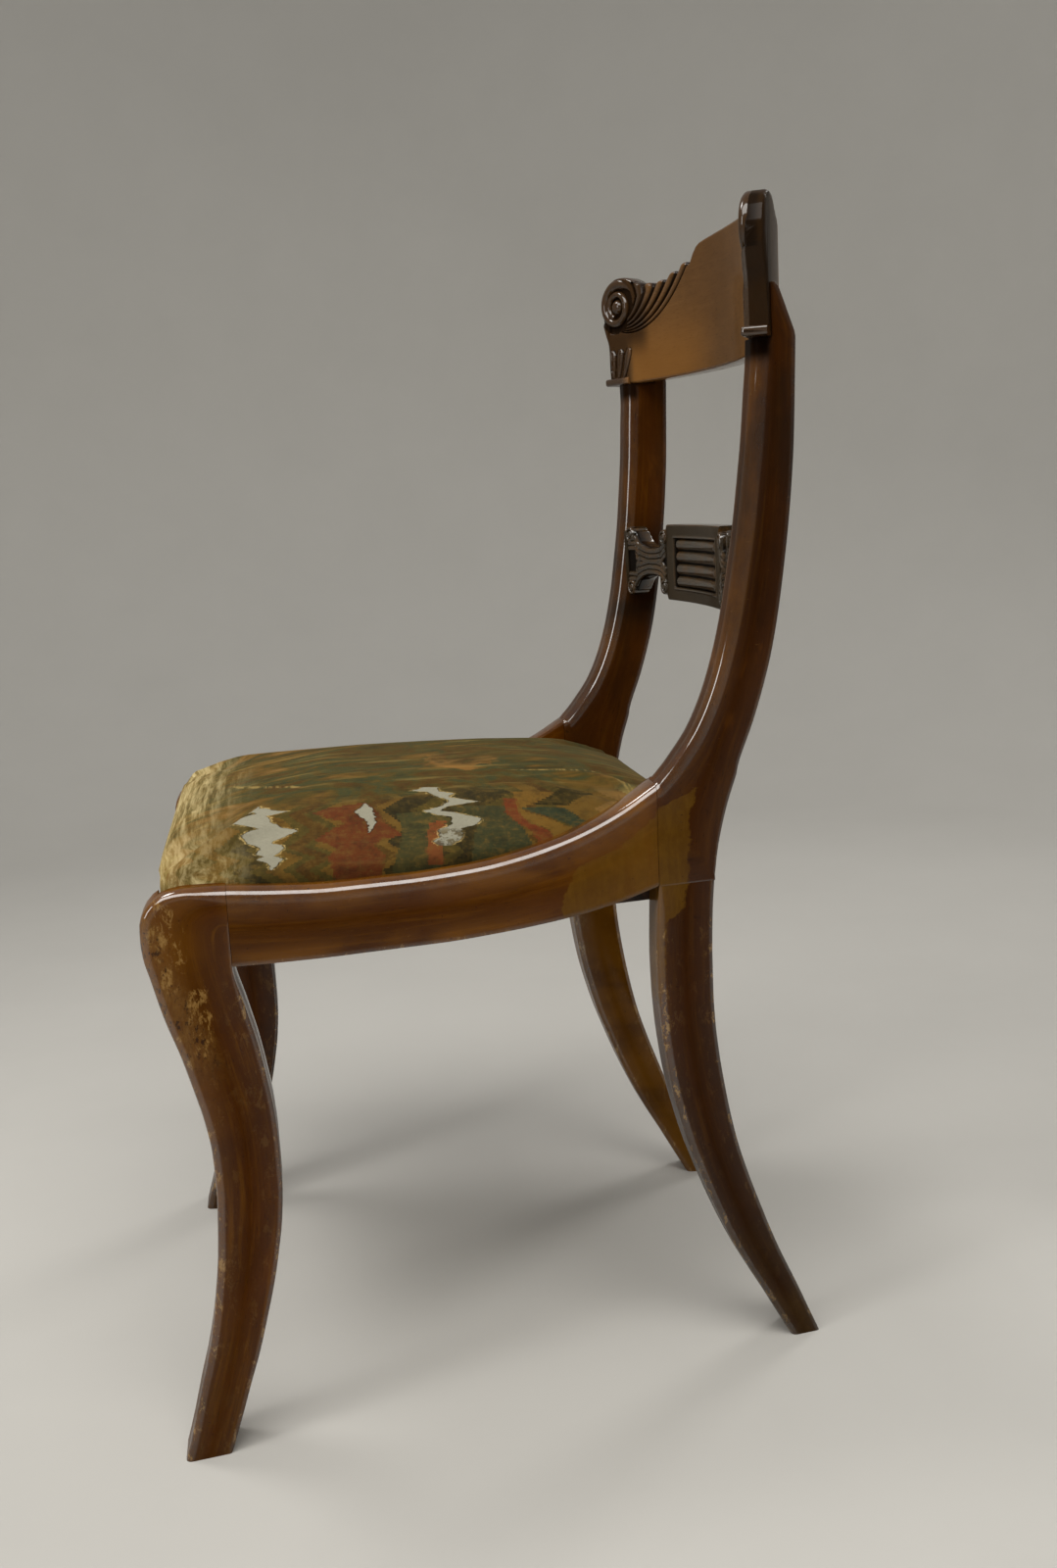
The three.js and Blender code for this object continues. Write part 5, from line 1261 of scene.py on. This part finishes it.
def velvet():
    w = Finish("flame_velvet", "4c3c18", .9, Sheen_Weight=.1, Sheen_Roughness=.3, Sheen_Tint=shade("d8bf7c"),
               Specular_IOR_Level=.1)
    n, z, cloth = w.n, w.z, w.kept("cloth", 1)
    u, v, _ = n.split(cloth)
    flat, on_cloth = n.vector(u, v, 0.0), n.vector(u, v, z)
    cell_u, cell_v = stepped(u, .0022), stepped(v, .0018)
    cell = n.vector(cell_u, cell_v, 0.0)

    reach = n.noise(cell, 30, 3, .6, 0, 4) * .034 + .002
    drift = n.noise(cloth, 8, 2, .5, 0, 3) * (u - .15).math("ABSOLUTE").step(.03, .12) * 2.2
    wave = (((cell_u - .148) / .018 + drift).math("PINGPONG", 1.0) - .5) * reach
    slow = (n.noise(n.vector(cell_u, v * .5, 0.0), 15, 3, .6, 0, 5) - .5) * .03
    gold, olive, dark = shade("604619"), shade("453a16"), shade("2a240f")
    light, brown, tan = shade("8b7542"), shade("47300f"), shade("77582c")
    near = n.add("ShaderNodeValToRGB", {"interpolation": "CONSTANT", "stops": [
        (0, light), (.06, tan), (.1, olive), (.135, gold), (.17, olive), (.195, dark), (.215, olive),
        (.24, gold), (.265, olive), (.285, brown), (.31, olive), (.33, gold), (.37, olive), (.39, brown),
        (.42, gold), (.44, dark), (.5, olive), (.525, dark), (.61, olive), (.64, gold), (.67, brown),
        (.69, olive), (.72, gold), (.8, tan), (.84, light), (.9, gold)]}, (v - wave + slow + .262) / .44)
    clouds = n.noise(n.vector(u * 1.3, v * .75, 0.0), 17, 5, .6, .9, 7) + (v * -.35).math("MAXIMUM", 0.0)
    far = n.add("ShaderNodeValToRGB", {"stops": [
        (.3, dark), (.4, olive), (.44, brown), (.5, olive), (.54, shade("363a20")), (.58, olive), (.64, gold),
        (.72, tan)]}, clouds + wave * 2.0)
    toward = (u + v * .07 + (n.noise(cloth, 22, 3, .6, 0, 8) - .5) * .03).step(.112, .134)
    w.tone = n.mix(toward, far, near)
    fray = (n.noise(n.vector(u * 1.4, v, z), 190, 4, .75, 0, 19) - .5) * .0075
    for colour, rows in flames:
        w.lay(inside_table(n, cell_u, cell_v, rows, fray), colour)

    worn_pile = n.noise(on_cloth, 110, 5, .72, .6, 23)
    shadow = n.noise(cloth, 60, 4, .65, .4, 13)
    brushed_pile_sheen = n.noise(n.vector(u * 5.0, v * .7, 0.0), 16, 4, .7, .4, 14)
    away = 1 - toward * .85
    w.lay(worn_pile.step(.5, .68) * toward * .5, "6a5122")
    w.lay(worn_pile.step(.5, .34) * toward * .4, "2c210e")
    w.lay(n.noise(cell, 190, 2, .6, 0, 11).step(.42, .7) * (.12 + toward * .1), "6a5524")
    w.lay(n.noise(cloth, 18, 4, .65, 0, 12).step(.48, .72) * (.45 - toward * .25), "5d4a20")
    w.lay(shadow.step(.52, .26) * .45, "15120a")
    # Streaks along the brushed pile, lighter and darker: partly the pile's own lie, partly painted sheen.
    w.lay(brushed_pile_sheen.step(.52, .7) * away * .6, "8a733e")
    w.lay(brushed_pile_sheen.step(.46, .3) * away * .62, "221c0c")

    margin = (w.y + (n.noise(n.vector(u * .6, v, z), 26, 4, .65, 0, 17) - .5) * .05).step(-.165, -.225)
    margin = margin * (u.step(.11, .06) * .5 + .5)
    rim = z.step(.436, .42) * v.step(-.16, -.2)
    straws = n.noise(n.vector(u * .2, v * 2.4, z * 1.6), 62, 5, .72, .2, 15)
    straw = (rim * .35 + margin * .8).math("MINIMUM", 1.0) * straws.step(.3, .55)
    w.lay(straw * .88, n.mix(straws.step(.4, .7), shade("8c7540"), shade("dcc994")))
    crease_fray = (n.noise(cloth, 45, 4, .7, 0, 22) - .5) * .016
    for rows in creases:
        w.lay(inside_table(n, u, v, rows, crease_fray, .0015) * straws.step(.42, .56) * .5, "ab9054")
    w.lay(blotch(w, (.04, -.006, .457), (.036, .028, .05), 1.8, 18) * clouds.step(.42, .58) * .6, "8a5f2c")
    w.lay(.17, "0a0804")

    bare = any_of([inside_table(n, u, v, rows, fray * 1.2, .0003) for rows in worn_lines])
    bare = bare * (1 - u.step(.163, .178) * v.step(-.1, -.08) * worn_pile.step(.46, .54) * .8)
    rims = any_of([inside_table(n, u, v, widened(worn_lines[i], .0022), fray * 2.0) for i in (0, 2)])
    w.lay(rims * straws.step(.42, .58) * .7, "b39a62")
    # Painted shadow: a thin dark line round each bare patch, where the pile steps down to the woven ground.
    for rows in worn_lines:
        w.lay(inside_table(n, u, v, widened(rows, .0008), fray * 1.2, .0003) * .75, "1d170b")
    weave = n.add("ShaderNodeTexWave", {"wave_type": "BANDS"}, flat, 620, 0.0)
    threads = weave * .6 + n.noise(on_cloth, 420, 4, .7, 0, 24) * .5
    w.lay(bare, n.mix(threads, shade("625f52"), shade("96927f")))

    pile = n.noise(on_cloth, 1500, 2, .6, 0, 30)
    height = pile * .35 + shadow * .5 + (1 - bare) * 1.3 + brushed_pile_sheen * .3 + straws * straw * .8
    return w.done((.6, .001, height), Roughness=.8 + shadow * .15)


seat_cover = cover_mesh(seat_net)
seat_cover.materials.clear()
seat_cover.materials.append(velvet())
seat_piece = show("velvet_seat", seat_cover, 60)

# %% [markdown]
# The parts that are out of sight or plain keep their solids and get their own finishes:
# mahogany for the two plain seat rails, beech for the seat's frame, jute for its webbing,
# loose-woven hessian over that, dark stained blocks and old steel screws. A weave is two
# sets of threads that take turns on top, which is a wave along each thread, put on
# alternate threads.

# %% Finishes of the frame under the seat
def plain_wood(name, deep, body, light, roughness):
    w = Finish(name, body, roughness)
    n, x, y, z = w.n, w.x, w.y, w.z
    streak = n.noise(n.vector(x * .08, y, z), 260, 4, .6, .3, 50)
    pores = n.noise(n.vector(x * .2, y, z), 1300, 1, .5, 0, 51).step(.6, .7)
    stain = n.noise(w.place, 13, 4, .6, .4, 52)
    w.tone = shade(deep)
    w.lay(streak.step(.35, .7), light)
    w.lay(stain.step(.45, .72) * .6, body)
    w.lay(pores * .4, deep)
    return w.done((.3, .0005, streak * .5 - pores * .6), Roughness=stain * .2 + (roughness - .1))


def woven(name, dark, light, thread):
    w = Finish(name, light, .95, Sheen_Weight=.15, Sheen_Roughness=.6)
    row, column = (w.y / thread).math("FLOOR"), (w.x / thread).math("FLOOR")
    across = ((w.x / thread).math("FRACT") - .5).math("ABSOLUTE")
    along = ((w.y / thread).math("FRACT") - .5).math("ABSOLUTE")
    odd = ((row + column) / 2).math("FRACT") * 2
    thickness = (1 - along * 1.9) * odd + (1 - across * 1.9) * (1 - odd)
    fuzz = w.n.noise(w.place, 700, 3, .6, 0, 60)
    stain = w.n.noise(w.place, 11, 4, .6, 0, 61)
    w.tone = shade(dark)
    w.lay(thickness * .8 + fuzz * .2, light)
    w.lay(stain.step(.5, .8) * .4, dark)
    return w.done((.6, .0006, thickness + fuzz * .3), Roughness=fuzz * .1 + .85)


def old_steel():
    w = Finish("old_steel", "5c5650", .45, Metallic=.85)
    spots = w.n.noise(w.place, 500, 4, .65, 0, 70)
    rust = spots.step(.48, .66)
    w.tone = shade("6b655e")
    w.lay(rust, "3d2a1c")
    return w.done((.25, .0002, spots), Roughness=spots * .4 + .25, Metallic=.9 - rust * .6)


finishes = {
    "seat_rail": rail_material,
    "corner_block": plain_wood("stained_block", "1d0f07", "2e1a0e", "45291a", .55),
    "screw": old_steel(),
    "seat_frame": plain_wood("old_beech", "8a6238", "a67e4e", "bb9562", .6),
    "webbing": woven("jute_webbing", "6b5330", "b09260", .0016),
    "hessian": woven("hessian", "5d4a2c", "a08556", .0011)}
for node_name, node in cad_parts.items():
    for part, finish in finishes.items():
        if part in node_name:
            node.data.materials.clear()
            node.data.materials.append(finish)
print("finished solids:", sum(any(part in name for part in finishes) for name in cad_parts))

# %% [markdown]
# The stage is a pale floor that curves up into a backdrop, so no horizon cuts the picture.
# Polished wood shows what it reflects, so the light comes from soft areas. A large one
# overhead at the sitter's left draws the long highlights. A tall one like a window stands
# in front, a small one lights the back from behind, one high in front lights the crest,
# and a pale world fills what is left.

# %% Stage and lights
def stage_mesh(turns=72, flat=1.9, roll=1.1):
    """A disc whose rim rolls up into a wall, drawn as rings about its middle."""
    profile = [(.6, 0), (1.2, 0), (flat, 0)]
    profile += [(flat + roll * math.sin(a), roll * (1 - math.cos(a)))
                for a in np.linspace(0, math.pi / 2, 16)[1:]]
    profile += [(flat + roll, 1.6), (flat + roll, 2.4)]
    angles = [2 * math.pi * i / turns for i in range(turns)]
    points = [(0, 0, 0)] + [(r * math.cos(a), r * math.sin(a), z) for r, z in profile for a in angles]
    sides = [(i, (i + 1) % turns) for i in range(turns)]
    faces = [(0, 1 + i, 1 + j) for i, j in sides]
    for low in range(1, 1 + turns * (len(profile) - 1), turns):
        faces += [(low + i, low + turns + i, low + turns + j, low + j) for i, j in sides]
    mesh = bpy.data.meshes.new("floor")
    mesh.from_pydata(points, [], faces)
    mesh.shade_smooth()
    return mesh


floor = placed("floor", stage_mesh())
stage_finish = Finish("pale_floor", "b4b2ad", .75)
stage_finish.tone = shade("b1afaa")
stage_finish.lay(stage_finish.n.noise(stage_finish.place, 5, 4, .6, 0, 80), "b8b6b1")
floor.data.materials.append(stage_finish.done())


def soft_light(name, place, target, size, watts, colour):
    data = bpy.data.lights.new(name, "AREA")
    data.shape, data.size, data.size_y = "RECTANGLE", *size
    data.energy, data.color = watts, colour
    light = placed(name, data)
    light.location = place
    light.rotation_euler = (Vector(target) - Vector(place)).to_track_quat("-Z", "Y").to_euler()


soft_light("overhead", (1.05, -.35, 2.2), (.15, -.05, .45), (2.3, 1.1), 50, (1, .98, .94))
soft_light("window", (1.1, -2.2, 1.5), (0, 0, .5), (.5, 1.2), 15, (1, .99, .97))
soft_light("behind", (-1.3, 1.5, 1.9), (0, 0, .5), (.7, .7), 12, (1, .98, .95))
soft_light("high_front", (-.45, -.8, 2.1), (.05, .1, .7), (.5, .5), 11, (1, .98, .95))
world = bpy.data.worlds.new("studio")
world.use_nodes = True
backdrop = world.node_tree.nodes["Background"]
backdrop.inputs["Color"].default_value, backdrop.inputs["Strength"].default_value = (1, .99, .97, 1), .3
bpy.context.scene.world = world

# %% [markdown]
# Each new piece moves with a body. The solids that pieces stand for are hidden, every
# wooden piece is attached to the chair's frame, and the seat rides on the body that lifts out.

# %% Pieces on their bodies
for node_name, piece in fitted.items():
    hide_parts(node_name)
    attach(piece, "chair_frame")
for piece in (*ledges.values(), *scrolls.values(), reed_piece):
    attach(piece, "chair_frame")
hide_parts("seat_cover", "seat_pad")
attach(seat_piece, "drop_in_seat")
